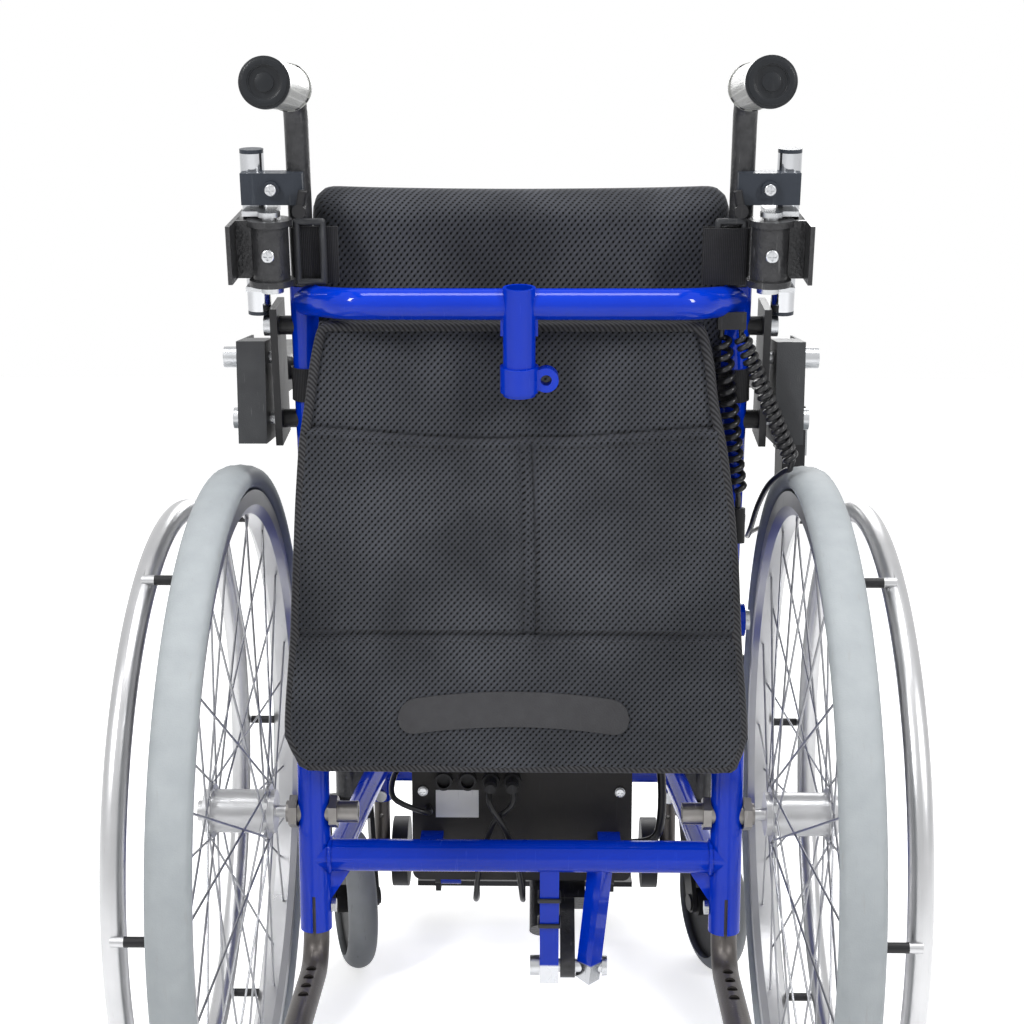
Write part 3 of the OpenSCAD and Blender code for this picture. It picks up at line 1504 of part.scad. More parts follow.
module right_rim() {
    rim(1);
}

module right_pushrim() {
    pushrim(1);
}

module right_hub() {
    hub(1);
}

module right_spokes() {
    spokes(1);
}

// Casters, both turned the same way
module in_caster(side) {
    from_axle() translate([side * caster_x, caster_y, 0]) rotate([0, 0, caster_turn]) children();
}

module caster_fork(side) {
    w = fork_arm_x + fork_arm_t / 2;
    color([0.05, 0.05, 0.05]) in_caster(side) {
        hull() {
            for (s = [-1, 1]) y_rod(-fork_crown_l / 2, fork_crown_l / 2, s * (w - fork_crown_h / 2),
                fork_crown_top - fork_crown_h / 2, fork_crown_h / 2);
            block([-w, -fork_crown_l / 2, fork_crown_top - fork_crown_h], [w, fork_crown_l / 2, fork_crown_top - fork_crown_h / 2]);
        }
        for (s = [-1, 1]) x_plate(s * fork_arm_x - fork_arm_t / 2, fork_arm_t)
            bar2d([-fork_crown_l / 2 + fork_eye_r, fork_crown_top - fork_crown_h / 2], [-caster_trail, caster_r], fork_eye_r);
        x_rod(-w - bolt_head_h / 2, w + bolt_head_h / 2, -caster_trail, caster_r, caster_axle_r);
        for (s = [-1, 1]) x_rod(s * (w + bolt_head_h / 4) - bolt_head_h / 4, s * (w + bolt_head_h / 4) + bolt_head_h / 4,
            -caster_trail, caster_r, nut_r);
        translate([0, 0, fork_crown_top - over]) cylinder(r = stem_r, h = stem_top - fork_crown_top);
        translate([0, 0, fork_crown_top - over]) cylinder(r = fork_ring_r, h = fork_ring_h + over);
    }
}

module left_caster_fork() {
    caster_fork(-1);
}

module right_caster_fork() {
    caster_fork(1);
}

module caster_wheel(side) {
    boss = fork_arm_x - fork_arm_t / 2 - side_gap;
    color([0.42, 0.42, 0.42]) in_caster(side) translate([0, -caster_trail, caster_r]) rotate([0, 90, 0]) rotate_extrude() {
        intersection() {
            translate([caster_r - caster_w / 2, 0]) circle(r = caster_w / 2);
            translate([caster_r - caster_tread_h - over, -caster_w]) square([2 * caster_tread_h, 2 * caster_w]);
        }
        translate([caster_hub_r - over, -caster_w / 2 + caster_recess])
            square([caster_r - caster_tread_h - caster_hub_r + 2 * over, caster_w - 2 * caster_recess]);
        translate([caster_axle_r + run_gap, -boss]) square([caster_hub_r - caster_axle_r - run_gap, 2 * boss]);
    }
}

module left_caster_wheel() {
    caster_wheel(-1);
}

module right_caster_wheel() {
    caster_wheel(1);
}

module strut_wheel(side) {
    color([0.08, 0.08, 0.08]) from_axle() on_side(side) translate([strut_wheel_x, strut_axle_y, strut_axle_z])
        rotate([0, 90, 0]) difference() {
            cylinder(r = strut_wheel_r, h = strut_wheel_w);
            translate([0, 0, -over]) cylinder(r = strut_axle_r + run_gap, h = strut_wheel_w + 2 * over);
        }
}

module left_strut_wheel() {
    strut_wheel(-1);
}

module right_strut_wheel() {
    strut_wheel(1);
}

// Stand-up gear
module link_bars() {
    color([0.02, 0.12, 0.72]) from_axle() both_sides() {
        difference() {
            x_plate(link_x, link_t) bar2d([hip_y, link_z], [knee_y, link_z], link_w / 2);
            x_rod(link_x - over, link_x + link_t + over, knee_y, link_z, link_pin_r + run_gap);
        }
        x_rod(link_x, hip_plate_x + hip_plate_t + side_gap, hip_y, link_z, link_pin_r);
    }
}

// Along the actuator from its tail pin: X across, Y towards its underside, Z to the rod's eye
module in_actuator() {
    translate([0, act_pin_y, act_pin_z]) rotate([act_angle - 90, 0, 0]) children();
}

module actuator_body() {
    mid = (act_eye_x0 + act_eye_x1) / 2;
    color([0.3, 0.3, 0.31]) from_axle() in_actuator() difference() {
        union() {
            x_rod(act_x0, act_x1, 0, 0, act_tail_r);
            block([act_x0, -act_tail_r, 0], [act_x1, act_tail_r, act_tail_l + over]);
            block([mid - act_body_w / 2, -act_body_w / 2, act_tail_l], [mid + act_body_w / 2, act_body_w / 2, act_body_l]);
            block([gear_x0, -act_tail_r, act_tail_l], [mid, motor_drop + motor_r / 2, motor_end]);
            translate([motor_x, motor_drop, motor_start]) cylinder(r = motor_r, h = motor_end - motor_start);
        }
        x_rod(act_x0 - over, act_x1 + over, 0, 0, act_pin_r + run_gap);
        translate([mid, 0, act_bore_start]) cylinder(r = act_rod_bore_r, h = act_body_l - act_bore_start + over);
    }
}

module actuator_rod() {
    mid = (act_eye_x0 + act_eye_x1) / 2;
    color([0.75, 0.75, 0.77]) from_axle() in_actuator() {
        translate([mid, 0, act_bore_start + 2 * side_gap]) cylinder(r = act_rod_r, h = act_rest_l - act_bore_start - 2 * side_gap);
        x_rod(act_eye_x0, act_eye_x1, 0, act_rest_l, act_eye_r);
    }
}

// Brakes
module brake(side) {
    x0 = brake_hub_x + brake_hub_t - brake_lever_t;
    color([0.05, 0.05, 0.05]) from_axle() on_side(side) difference() {
        union() {
            x_rod(brake_hub_x, brake_hub_x + brake_hub_t, brake_y, brake_z, brake_hub_r);
            x_plate(x0, brake_lever_t) {
                bar2d([brake_y, brake_z], [brake_y, brake_lever_top], brake_lever_w / 2);
                bar2d([brake_y, brake_z], [brake_shoe_y, brake_shoe_z], brake_arm_w / 2);
            }
            x_rod(x0, brake_shoe_x1, brake_shoe_y, brake_shoe_z, brake_shoe_r);
            x_rod(x0, x0 + 3 * brake_lever_t, brake_y, brake_lever_top, brake_knob_r);
        }
        x_rod(brake_hub_x - over, brake_hub_x + brake_hub_t + over, brake_y, brake_z, brake_pin_r + run_gap);
    }
}

module left_brake() {
    brake(-1);
}

module right_brake() {
    brake(1);
}

// Footrest and knee support
module footplate() {
    color([0.08, 0.08, 0.08]) from_axle() {
        block([-foot_plate_half_w, foot_plate_y0, foot_pivot_z - foot_plate_drop],
            [foot_plate_half_w, front_y, foot_pivot_z - foot_plate_drop + foot_plate_t]);
        both_sides() {
            x_plate(hanger_x + hanger_r + eye_rim + side_gap / 2, foot_ear_t) {
                translate([knee_y, foot_pivot_z]) circle(r = foot_ear_r);
                translate([knee_y, foot_pivot_z - foot_plate_drop])
                    square([foot_plate_y0 + foot_ear_r - knee_y, foot_plate_drop]);
            }
            x_rod(hanger_x - hanger_r, hanger_x + hanger_r + eye_rim + side_gap, knee_y, foot_pivot_z, foot_pin_r);
        }
    }
}

module knee_bar() {
    color([0.02, 0.12, 0.72]) from_axle() difference() {
        union() {
            translate([-upright_x, gate_y, gate_z - gate_barrel_h / 2]) cylinder(r = gate_barrel_r, h = gate_barrel_h);
            pipe([[-upright_x, gate_y, gate_z], [-upright_x, gate_bar_y, gate_z], [upright_x, gate_bar_y, gate_z],
                [upright_x, gate_y - gate_bar_r, gate_z]], gate_bar_r, gate_bend_r);
        }
        translate([-upright_x, gate_y, gate_z - gate_barrel_h]) cylinder(r = gate_pin_r + run_gap, h = 2 * gate_barrel_h);
    }
}

module knee_pads() {
    y1 = gate_bar_y - gate_bar_r - soft_gap;
    r = knee_pad_r;
    color([0.06, 0.06, 0.06]) from_axle() both_sides() hull()
        for (x = [knee_pad_x - knee_pad_w / 2 + r, knee_pad_x + knee_pad_w / 2 - r],
            z = [gate_z - knee_pad_h / 2 + r, gate_z + knee_pad_h / 2 - r])
            y_rod(y1 - knee_pad_t, y1, x, z, r);
}

rear_posts();
base_crossbars();
side_rails();
front_uprights();
caster_housings();
axle_sleeves();
antitip_struts();
control_box();
box_connectors();
frame_fasteners();
footrest_hangers();
seat_frame();
seat_cushion();
backrest_posts();
top_bar();
back_cushion();
rear_flap();
push_handles();
handle_grips();
chrome_rails();
rail_clamps();
side_plates();
armrest_boxes();
back_fasteners();
belt_loops();
chest_straps();
cord_fittings();
curly_cord();
left_chest_arm();
right_chest_arm();
left_clamp_lever();
right_clamp_lever();
left_armrest();
right_armrest();
left_armrest_pad();
right_armrest_pad();
handset();
handset_rocker();
left_tyre();
left_rim();
left_pushrim();
left_hub();
left_spokes();
right_tyre();
right_rim();
right_pushrim();
right_hub();
right_spokes();
left_caster_fork();
left_caster_wheel();
right_caster_fork();
right_caster_wheel();
left_strut_wheel();
right_strut_wheel();
link_bars();
actuator_body();
actuator_rod();
left_brake();
right_brake();
footplate();
knee_bar();
knee_pads();
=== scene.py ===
"""The looks of a standing wheelchair seen from behind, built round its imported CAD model."""

import math

import bmesh
import bpy
import numpy as np
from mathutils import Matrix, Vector


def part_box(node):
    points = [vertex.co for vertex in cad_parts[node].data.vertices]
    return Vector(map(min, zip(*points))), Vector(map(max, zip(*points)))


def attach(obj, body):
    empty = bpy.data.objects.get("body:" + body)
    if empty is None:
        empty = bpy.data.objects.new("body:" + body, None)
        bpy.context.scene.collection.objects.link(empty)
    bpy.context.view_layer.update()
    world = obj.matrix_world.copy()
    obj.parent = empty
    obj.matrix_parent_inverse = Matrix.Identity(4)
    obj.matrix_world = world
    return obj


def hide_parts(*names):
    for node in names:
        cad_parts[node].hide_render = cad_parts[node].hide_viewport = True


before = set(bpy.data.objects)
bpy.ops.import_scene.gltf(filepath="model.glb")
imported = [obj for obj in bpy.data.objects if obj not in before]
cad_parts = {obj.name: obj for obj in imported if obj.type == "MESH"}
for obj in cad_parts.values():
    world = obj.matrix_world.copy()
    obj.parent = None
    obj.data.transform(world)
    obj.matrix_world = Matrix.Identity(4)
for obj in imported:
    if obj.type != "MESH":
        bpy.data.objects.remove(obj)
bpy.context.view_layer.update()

# Camera
# It stands behind the chair at the photograph's height and looks slightly down on it.
# The lens and the place come from lines on the chair whose real sizes are known.
camera_tilt, camera_turn = math.radians(80), math.radians(1.01)
bpy.ops.object.camera_add(location=(0.0182, -1.549, 0.824), rotation=(camera_tilt, 0, camera_turn))
camera = bpy.context.object
camera.data.lens = 59.77
camera.data.sensor_width = 36
camera.data.clip_start = 0.02
bpy.context.scene.camera = camera


# Curly cord
# The handset's coiled polyurethane cord leaves its plug on the right backrest post, rises in one
# coil to a tie on the top bar, comes down in a second coil and runs under the armrest to the handset.
axle_y = 125


def place(x, y, z):
    """A point given in millimetres from the wheel axle, in metres of the model's own frame."""
    return Vector((x, y - axle_y, z)) / 1000


def coil_points(foot, top, radius, turns, rings):
    """The middle line of a coil that is drawn in to its axis over half a turn at each end."""
    foot, top = Vector(foot), Vector(top)
    along = (top - foot).normalized()
    side = along.cross(Vector((0, 1, 0))).normalized()
    other = along.cross(side)
    count = turns * rings
    points = []
    for i in range(count + 1):
        drawn = min(1, 2 * i / rings, 2 * (count - i) / rings)
        turn = 2 * math.pi * i / rings
        out = math.cos(turn) * side + math.sin(turn) * other
        points.append(foot.lerp(top, i / count) + radius * drawn * out)
    return points


def smooth_run(points, steps):
    """Points on a smooth curve through the given ones."""
    points = [Vector(p) for p in points]
    run = []
    for i in range(len(points) - 1):
        a, b = points[max(0, i - 1)], points[i]
        c, d = points[i + 1], points[min(len(points) - 1, i + 2)]
        for k in range(steps):
            t = k / steps
            square, cube = 2 * a - 5 * b + 4 * c - d, 3 * b - a - 3 * c + d
            run.append(0.5 * (2 * b + (c - a) * t + square * t * t + cube * t ** 3))
    return run + [points[-1]]


def cord_piece(name, points, radius):
    """A round cord along the points, swept as a curve and turned into a mesh."""
    curve = bpy.data.curves.new(name, "CURVE")
    curve.dimensions = "3D"
    spline = curve.splines.new("POLY")
    spline.points.add(len(points) - 1)
    for knot, p in zip(spline.points, points):
        knot.co = (*p, 1)
    curve.bevel_depth = radius
    curve.bevel_resolution = 4
    curve.use_fill_caps = True
    spline.use_smooth = True
    piece = bpy.data.objects.new(name, curve)
    bpy.context.scene.collection.objects.link(piece)
    bpy.context.view_layer.objects.active = piece
    piece.select_set(True)
    bpy.ops.object.convert(target="MESH")
    piece.select_set(False)
    return piece


cord_radius = 0.0025
cord_rings = 16
cord_start = [(186, 11.5, 575.1), (186, 11.5, 580), (186, 9.5, 585)]
cord_over_tie = [(165, -27, 730), (167, -28, 735), (173, -30, 737), (179, -32, 735), (180.5, -33, 730)]
cord_tail = [(226, -12, 612), (221, 0, 607), (213, 25, 592), (209, 60, 568), (209, 100, 543),
             (211, 140, 527), (215, 175, 520), (221, 203, 518), (230, 222, 518), (241, 234, 519),
             (252, 237, 523), (259, 234, 528), (261, 230.5, 531.5), (261, 230, 536.9)]
cord_route = [Vector(p) for p in cord_start]
cord_route += coil_points((185, 6, 590), (165, -27, 725), 6, 14, cord_rings)
cord_route += [Vector(p) for p in cord_over_tie]
cord_route += coil_points((180.5, -33, 725), (227, -17, 619), 5, 18, cord_rings)
cord_route += smooth_run(cord_tail, 4)
cord_route = [place(*p) for p in cord_route]
curly_cord = cord_piece("curly_cord_wound", cord_route, cord_radius)
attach(curly_cord, "backrest")
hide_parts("curly_cord")

# Control box leads
# Two thin leads drop from the plugged sockets and turn up into the box's underside, a third loops
# at its left side and a thicker one at its right. All are round PVC cables with moulded plugs.
thin_lead, thick_lead = 2.6, 4
lead_routes = {
    "lead_plug_left": ([(-26.8, 32, 318), (-26.8, 21, 305), (-12, 21, 278), (-2, 23, 244),
                        (2, 30, 214), (2, 56, 204), (2, 56, 221.9)], thin_lead),
    "lead_plug_right": ([(-7.3, 32, 318), (-7.3, 28, 302), (-24, 28, 284), (-36, 28, 246),
                         (-40, 32, 214), (-40, 56, 204), (-40, 56, 221.9)], thin_lead),
    "lead_loop_left": ([(-98.6, 75, 318), (-114, 75, 318), (-114, 34, 306), (-84, 34, 292),
                        (-84, 49.8, 292)], thin_lead),
    "lead_thick_right": ([(101.1, 84, 326), (127, 84, 326), (127, 70, 262), (101.1, 70, 250)],
                         thick_lead),
}
leads = []
for lead_name, (knots, radius_mm) in lead_routes.items():
    route = [place(*p) for p in smooth_run(knots, 6)]
    lead = cord_piece(lead_name, route, radius_mm / 1000)
    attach(lead, "chassis")
    leads.append(lead)

# Studio
# A plain white floor and white surroundings, with two narrow lamps behind the camera for the tubes'
# long highlights, a large one above the chair and another in front of it.
scene = bpy.context.scene
scene.view_settings.view_transform = "Standard"


def deselect():
    if bpy.context.object and bpy.context.object.mode == "EDIT":
        bpy.ops.object.mode_set(mode="OBJECT")
    bpy.ops.object.select_all(action="DESELECT")


def blank_material(name):
    """A node material with only its Principled shader and its output."""
    material = bpy.data.materials.new(name)
    material.use_nodes = True
    tree = material.node_tree
    return material, tree.nodes, tree.links, tree.nodes["Principled BSDF"]


def seen_rays(nodes, links):
    """1 for the camera's, mirrored and passed-through rays, and 0 for those that light the chair."""
    path = nodes.new("ShaderNodeLightPath")
    seen = path.outputs["Is Camera Ray"]
    for ray in ("Is Glossy Ray", "Is Transmission Ray"):
        either = nodes.new("ShaderNodeMath")
        either.operation = "MAXIMUM"
        links.new(seen, either.inputs[0])
        links.new(path.outputs[ray], either.inputs[1])
        seen = either.outputs["Value"]
    return seen


deselect()
bpy.ops.mesh.primitive_plane_add(size=14, location=(0, 0, -0.0005))
studio_floor = bpy.context.object
studio_floor.name = "studio_floor"
floor_white, nodes, links, shader = blank_material("floor_white")
shader.inputs["Base Color"].default_value = (0.86, 0.86, 0.86, 1)
shader.inputs["Roughness"].default_value = 0.7
seen_white = nodes.new("ShaderNodeEmission")
seen_white.inputs["Strength"].default_value = 0.66
mix = nodes.new("ShaderNodeAddShader")
only_seen = nodes.new("ShaderNodeMixShader")
links.new(seen_rays(nodes, links), only_seen.inputs["Fac"])
links.new(shader.outputs["BSDF"], only_seen.inputs[1])
links.new(shader.outputs["BSDF"], mix.inputs[0])
links.new(seen_white.outputs["Emission"], mix.inputs[1])
links.new(mix.outputs["Shader"], only_seen.inputs[2])
links.new(only_seen.outputs["Shader"], nodes["Material Output"].inputs["Surface"])
studio_floor.data.materials.append(floor_white)

world = bpy.data.worlds.new("studio")
scene.world = world
world.use_nodes = True
nodes, links = world.node_tree.nodes, world.node_tree.links
surround = nodes["Background"]
surround.inputs["Color"].default_value = (1, 1, 1, 1)
surround.inputs["Strength"].default_value = 0.34
white_seen = nodes.new("ShaderNodeBackground")
white_seen.inputs["Color"].default_value = (1, 1, 1, 1)
white_seen.inputs["Strength"].default_value = 1
mix = nodes.new("ShaderNodeMixShader")
links.new(seen_rays(nodes, links), mix.inputs["Fac"])
links.new(surround.outputs["Background"], mix.inputs[1])
links.new(white_seen.outputs["Background"], mix.inputs[2])
links.new(mix.outputs["Shader"], nodes["World Output"].inputs["Surface"])

lamps = {
    "lamp_left_rear": ((-1.5, -1.7, 2.0), (0.3, 0.8), 36),
    "lamp_right_rear": ((1.7, -1.6, 1.7), (0.3, 0.8), 30),
    "lamp_overhead": ((0.1, -0.5, 2.5), (1.3, 0.6), 30),
    "lamp_front": ((0.3, 2.1, 1.5), (1.4, 1.0), 24),
}
for lamp_name, (spot, size, power) in lamps.items():
    bpy.ops.object.light_add(type="AREA", location=spot)
    lamp = bpy.context.object
    lamp.name = lamp_name
    lamp.data.shape = "RECTANGLE"
    lamp.data.size, lamp.data.size_y = size
    lamp.data.energy = power
    aim = Vector((0, 0, 0.5)) - Vector(spot)
    lamp.rotation_euler = aim.to_track_quat("-Z", "Y").to_euler()


# Painted frame
# Round steel tubes are mitred, welded and stove-enamelled in a deep gloss blue. The enamel has a
# faint orange peel, and small scuffs where the chair is lifted and leaned.
def value_group(name, inputs, outputs):
    """An empty node group with the named number and vector sockets, and its two end nodes."""
    group = bpy.data.node_groups.new(name, "ShaderNodeTree")
    for label, kind, value in inputs:
        socket = group.interface.new_socket(label, in_out="INPUT", socket_type=kind)
        if value is not None:
            socket.default_value = value
    for label in outputs:
        group.interface.new_socket(label, in_out="OUTPUT", socket_type="NodeSocketFloat")
    return group, group.nodes.new("NodeGroupInput"), group.nodes.new("NodeGroupOutput")


def math_node(tree, operation, a, b=None, c=None):
    """A Math node whose inputs are sockets or numbers; gives its output."""
    node = tree.nodes.new("ShaderNodeMath")
    node.operation = operation
    for i, v in enumerate((a, b, c)):
        if isinstance(v, (int, float)):
            node.inputs[i].default_value = v
        elif v is not None:
            tree.links.new(v, node.inputs[i])
    return node.outputs["Value"]


def number_range(tree, value, low, high, to_low=0.0, to_high=1.0, smooth=False):
    """A value spread from one range to another and held within it."""
    node = tree.nodes.new("ShaderNodeMapRange")
    node.interpolation_type = "SMOOTHSTEP" if smooth else "LINEAR"
    node.inputs["From Min"].default_value = low
    node.inputs["From Max"].default_value = high
    node.inputs["To Min"].default_value = to_low
    node.inputs["To Max"].default_value = to_high
    tree.links.new(value, node.inputs["Value"])
    return node.outputs["Result"]


def colour_mix(tree, factor, first, second):
    """A colour between two, each of which is a plain colour or a socket."""
    node = tree.nodes.new("ShaderNodeMix")
    node.data_type = "RGBA"
    for label, colour in (("A", first), ("B", second)):
        if isinstance(colour, (tuple, list)):
            node.inputs[label].default_value = (*colour, 1)
        else:
            tree.links.new(colour, node.inputs[label])
    tree.links.new(factor, node.inputs["Factor"])
    return node.outputs["Result"]


def bumped(tree, height, strength, distance, sunk=False):
    """A normal bumped by a height."""
    node = tree.nodes.new("ShaderNodeBump")
    node.invert = sunk
    node.inputs["Strength"].default_value = strength
    node.inputs["Distance"].default_value = distance
    tree.links.new(height, node.inputs["Height"])
    return node.outputs["Normal"]


def object_place(tree):
    """The piece's own coordinates, whole and as their three parts."""
    coords = tree.nodes.new("ShaderNodeTexCoord")
    split = tree.nodes.new("ShaderNodeSeparateXYZ")
    tree.links.new(coords.outputs["Object"], split.inputs["Vector"])
    return coords.outputs["Object"], *split.outputs


def noise_of(tree, vector, scale=1.0, detail=2.0):
    """A noise texture over a vector; gives its node."""
    node = tree.nodes.new("ShaderNodeTexNoise")
    node.inputs["Scale"].default_value = scale
    node.inputs["Detail"].default_value = detail
    tree.links.new(vector, node.inputs["Vector"])
    return node


surface_use, group_in, group_out = value_group(
    "surface_use",
    [("Vector", "NodeSocketVector", None), ("Patch size", "NodeSocketFloat", 0.05),
     ("Grain size", "NodeSocketFloat", 0.003)],
    ["Patch", "Grain", "Scuff"])
tree = surface_use
for label, size_socket, detail in (("Patch", "Patch size", 3), ("Grain", "Grain size", 2)):
    noise = noise_of(tree, group_in.outputs["Vector"], detail=detail)
    scale = math_node(tree, "DIVIDE", 1.0, group_in.outputs[size_socket])
    tree.links.new(scale, noise.inputs["Scale"])
    tree.links.new(noise.outputs["Fac"], group_out.inputs[label])
stretch = tree.nodes.new("ShaderNodeVectorMath")
stretch.operation = "MULTIPLY"
stretch.inputs[1].default_value = (380, 90, 40)
tree.links.new(group_in.outputs["Vector"], stretch.inputs[0])
noise = noise_of(tree, stretch.outputs[0], detail=4)
scuff = number_range(tree, noise.outputs["Fac"], 0.64, 0.74)
tree.links.new(scuff, group_out.inputs["Scuff"])


def use_marks(tree, vector, patch, grain):
    """The surface_use group with its two sizes, placed in a material."""
    use = tree.nodes.new("ShaderNodeGroup")
    use.node_tree = surface_use
    use.inputs["Patch size"].default_value = patch
    use.inputs["Grain size"].default_value = grain
    tree.links.new(vector, use.inputs["Vector"])
    return use


def solid_finish(name, colour, second, rough, metallic=0.0, coat=0.0, patch=0.05, grain=0.003, bump=0.1,
                 scuff_colour=None, specular=0.22):
    """A finish whose colour and roughness drift, with a fine grain and light scuffs."""
    material, nodes, links, shader = blank_material(name)
    tree = material.node_tree
    use = use_marks(tree, object_place(tree)[0], patch, grain)
    scuff_colour = scuff_colour or [min(1, 1.6 * c + 0.02) for c in colour]
    drift = colour_mix(tree, use.outputs["Patch"], colour, second)
    worn = math_node(tree, "MULTIPLY", use.outputs["Scuff"], 0.35)
    links.new(colour_mix(tree, worn, drift, scuff_colour), shader.inputs["Base Color"])
    spread = number_range(tree, use.outputs["Patch"], 0, 1, max(0.03, rough - 0.06), rough + 0.08)
    roughness = math_node(tree, "MULTIPLY_ADD", use.outputs["Scuff"], 0.12, spread)
    links.new(roughness, shader.inputs["Roughness"])
    links.new(bumped(tree, use.outputs["Grain"], bump, 0.0006), shader.inputs["Normal"])
    shader.inputs["Metallic"].default_value = metallic
    shader.inputs["Coat Weight"].default_value = coat
    shader.inputs["Coat Roughness"].default_value = 0.04
    shader.inputs["Specular IOR Level"].default_value = specular
    return material


def dress(material, *node_names):
    """Gives this finish to CAD nodes that keep their own shape."""
    for name in node_names:
        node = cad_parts[name]
        node.data.materials.clear()
        node.data.materials.append(material)


blue_enamel = solid_finish("blue_enamel", (0.0, 0.021, 0.36), (0.0, 0.034, 0.50), 0.26, coat=0.4,
                           patch=0.09, grain=0.004, bump=0.05, scuff_colour=(0.01, 0.05, 0.5),
                           specular=0.02)
dress(blue_enamel, "rear_posts", "side_rails", "front_uprights", "footrest_hangers", "seat_frame",
      "backrest_posts", "top_bar", "link_bars", "knee_bar")

# Rear crossbar and actuator lugs
# The lower crossbar is enamelled with the frame. Its two hanging lugs for the lifting motor were
# masked at their lower ends, where the bare zinc-plated steel shows round the pivot bolt.
lug_blue = blue_enamel.copy()
lug_blue.name = "blue_enamel_masked_foot"
mask_top, mask_foot = 0.157, 0.155
tree = lug_blue.node_tree
shader = tree.nodes["Principled BSDF"]
bare = number_range(tree, object_place(tree)[3], mask_top, mask_foot)
painted = shader.inputs["Base Color"].links[0].from_socket
tree.links.new(colour_mix(tree, bare, painted, (0.52, 0.53, 0.55)), shader.inputs["Base Color"])
tree.links.new(bare, shader.inputs["Metallic"])
dress(lug_blue, "base_crossbars")


# Weld beads
# The crossbar meets each rear post in a tee joint with a rippled fillet bead under the enamel.
def fit(piece, material, body, node=None):
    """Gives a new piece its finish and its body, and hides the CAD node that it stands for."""
    piece.data.materials.append(material)
    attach(piece, body)
    if node:
        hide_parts(node)


def settle():
    """Puts the active piece's place, turn and size into its mesh."""
    bpy.ops.object.transform_apply(location=True, rotation=True, scale=True)


def side_name(side):
    return "left" if side < 0 else "right"


def weld_bead(name, middle, axis, radius, wire, body):
    """A rippled ring of weld metal round an axis."""
    deselect()
    bpy.ops.mesh.primitive_torus_add(major_radius=radius, minor_radius=wire, major_segments=72,
                                     minor_segments=8, location=middle,
                                     rotation=Vector(axis).to_track_quat("Z", "Y").to_euler())
    bead = bpy.context.object
    bead.name = name
    settle()
    for i, v in enumerate(bead.data.vertices):
        ring = i // 8
        out = (v.co - Vector(middle)).normalized()
        v.co += out * wire * (0.16 if ring % 3 == 0 else -0.08)
    bpy.ops.object.shade_smooth()
    fit(bead, blue_enamel, body)


for side in (-1, 1):
    weld_bead(f"weld_crossbar_{side_name(side)}", place(side * 167.2, 0, 265), (1, 0, 0), 0.0143,
              0.0021, "chassis")


# Zinc-plated hardware
# Bolts, nuts, axle sleeves and the actuator's rod are plated or ground steel, slightly dulled.
bright_steel = solid_finish("bright_steel", (0.42, 0.43, 0.45), (0.56, 0.57, 0.58), 0.28, metallic=1,
                            patch=0.012, grain=0.0012, bump=0.12, scuff_colour=(0.35, 0.35, 0.36))
sleeve_steel = solid_finish("sleeve_steel", (0.14, 0.13, 0.125), (0.3, 0.29, 0.28), 0.36, metallic=1,
                            patch=0.02, grain=0.002, bump=0.15, scuff_colour=(0.6, 0.6, 0.6))
dress(bright_steel, "frame_fasteners", "back_fasteners", "actuator_rod")
dress(sleeve_steel, "axle_sleeves")

# Chrome rails
# Two short chromed tubes at the sides of the backrest, on which the chest arms' brackets slide.
chrome_plate = solid_finish("chrome_plate", (0.48, 0.49, 0.51), (0.6, 0.61, 0.63), 0.09, metallic=1,
                            patch=0.06, grain=0.002, bump=0.02, scuff_colour=(0.6, 0.6, 0.62))
dress(chrome_plate, "chrome_rails")

# Charcoal hammered parts
# Push handles, chest arm hinges, armrest boxes, caster housings and the anti-tip tubes are steel
# or cast alloy under a charcoal coat with a coarse hammered grain.
hammered_grey = solid_finish("hammered_grey", (0.022, 0.0225, 0.024), (0.06, 0.06, 0.063), 0.34,
                             metallic=0.45, coat=0.1, patch=0.007, grain=0.0026, bump=0.9,
                             scuff_colour=(0.2, 0.2, 0.2))
box_grey = solid_finish("box_grey", (0.03, 0.031, 0.034), (0.055, 0.057, 0.06), 0.5, metallic=0.2,
                        patch=0.02, grain=0.0012, bump=0.35, scuff_colour=(0.2, 0.2, 0.2))
tube_brown = solid_finish("tube_brown", (0.06, 0.054, 0.05), (0.115, 0.105, 0.1), 0.4, metallic=0.6,
                          patch=0.018, grain=0.002, bump=0.3, scuff_colour=(0.32, 0.3, 0.28))
dress(hammered_grey, "push_handles", "left_chest_arm", "right_chest_arm", "caster_housings",
      "actuator_body")
dress(box_grey, "armrest_boxes")
dress(tube_brown, "antitip_struts")

# Black-coated metal
# Side plates, armrest bars, brakes, caster forks and the footplate are powder-coated satin black.
satin_black = solid_finish("satin_black", (0.012, 0.012, 0.013), (0.024, 0.024, 0.026), 0.42,
                           metallic=0.1, coat=0.1, patch=0.03, grain=0.0015, bump=0.3,
                           scuff_colour=(0.09, 0.09, 0.09))
dress(satin_black, "side_plates", "left_armrest", "right_armrest", "left_caster_fork",
      "right_caster_fork", "left_brake", "right_brake", "footplate")

# Moulded black plastic
# Clamps, levers, belt loops, cord fittings, handset body and the small strut wheels are moulded
# glass-filled nylon with a fine spark-eroded grain.
moulded_black = solid_finish("moulded_black", (0.014, 0.014, 0.015), (0.024, 0.024, 0.026), 0.48,
                             patch=0.02, grain=0.0009, bump=0.3, scuff_colour=(0.07, 0.07, 0.07))
key_grey = solid_finish("key_grey", (0.4, 0.41, 0.43), (0.48, 0.49, 0.5), 0.42, patch=0.01,
                        grain=0.001, bump=0.2)
clamp_slate = solid_finish("clamp_slate", (0.022, 0.027, 0.036), (0.034, 0.04, 0.052), 0.36,
                           patch=0.02, grain=0.001, bump=0.2, scuff_colour=(0.1, 0.11, 0.12))
loop_grey = solid_finish("loop_grey", (0.032, 0.033, 0.036), (0.05, 0.052, 0.056), 0.34, patch=0.02,
                         grain=0.001, bump=0.15, scuff_colour=(0.12, 0.12, 0.12))
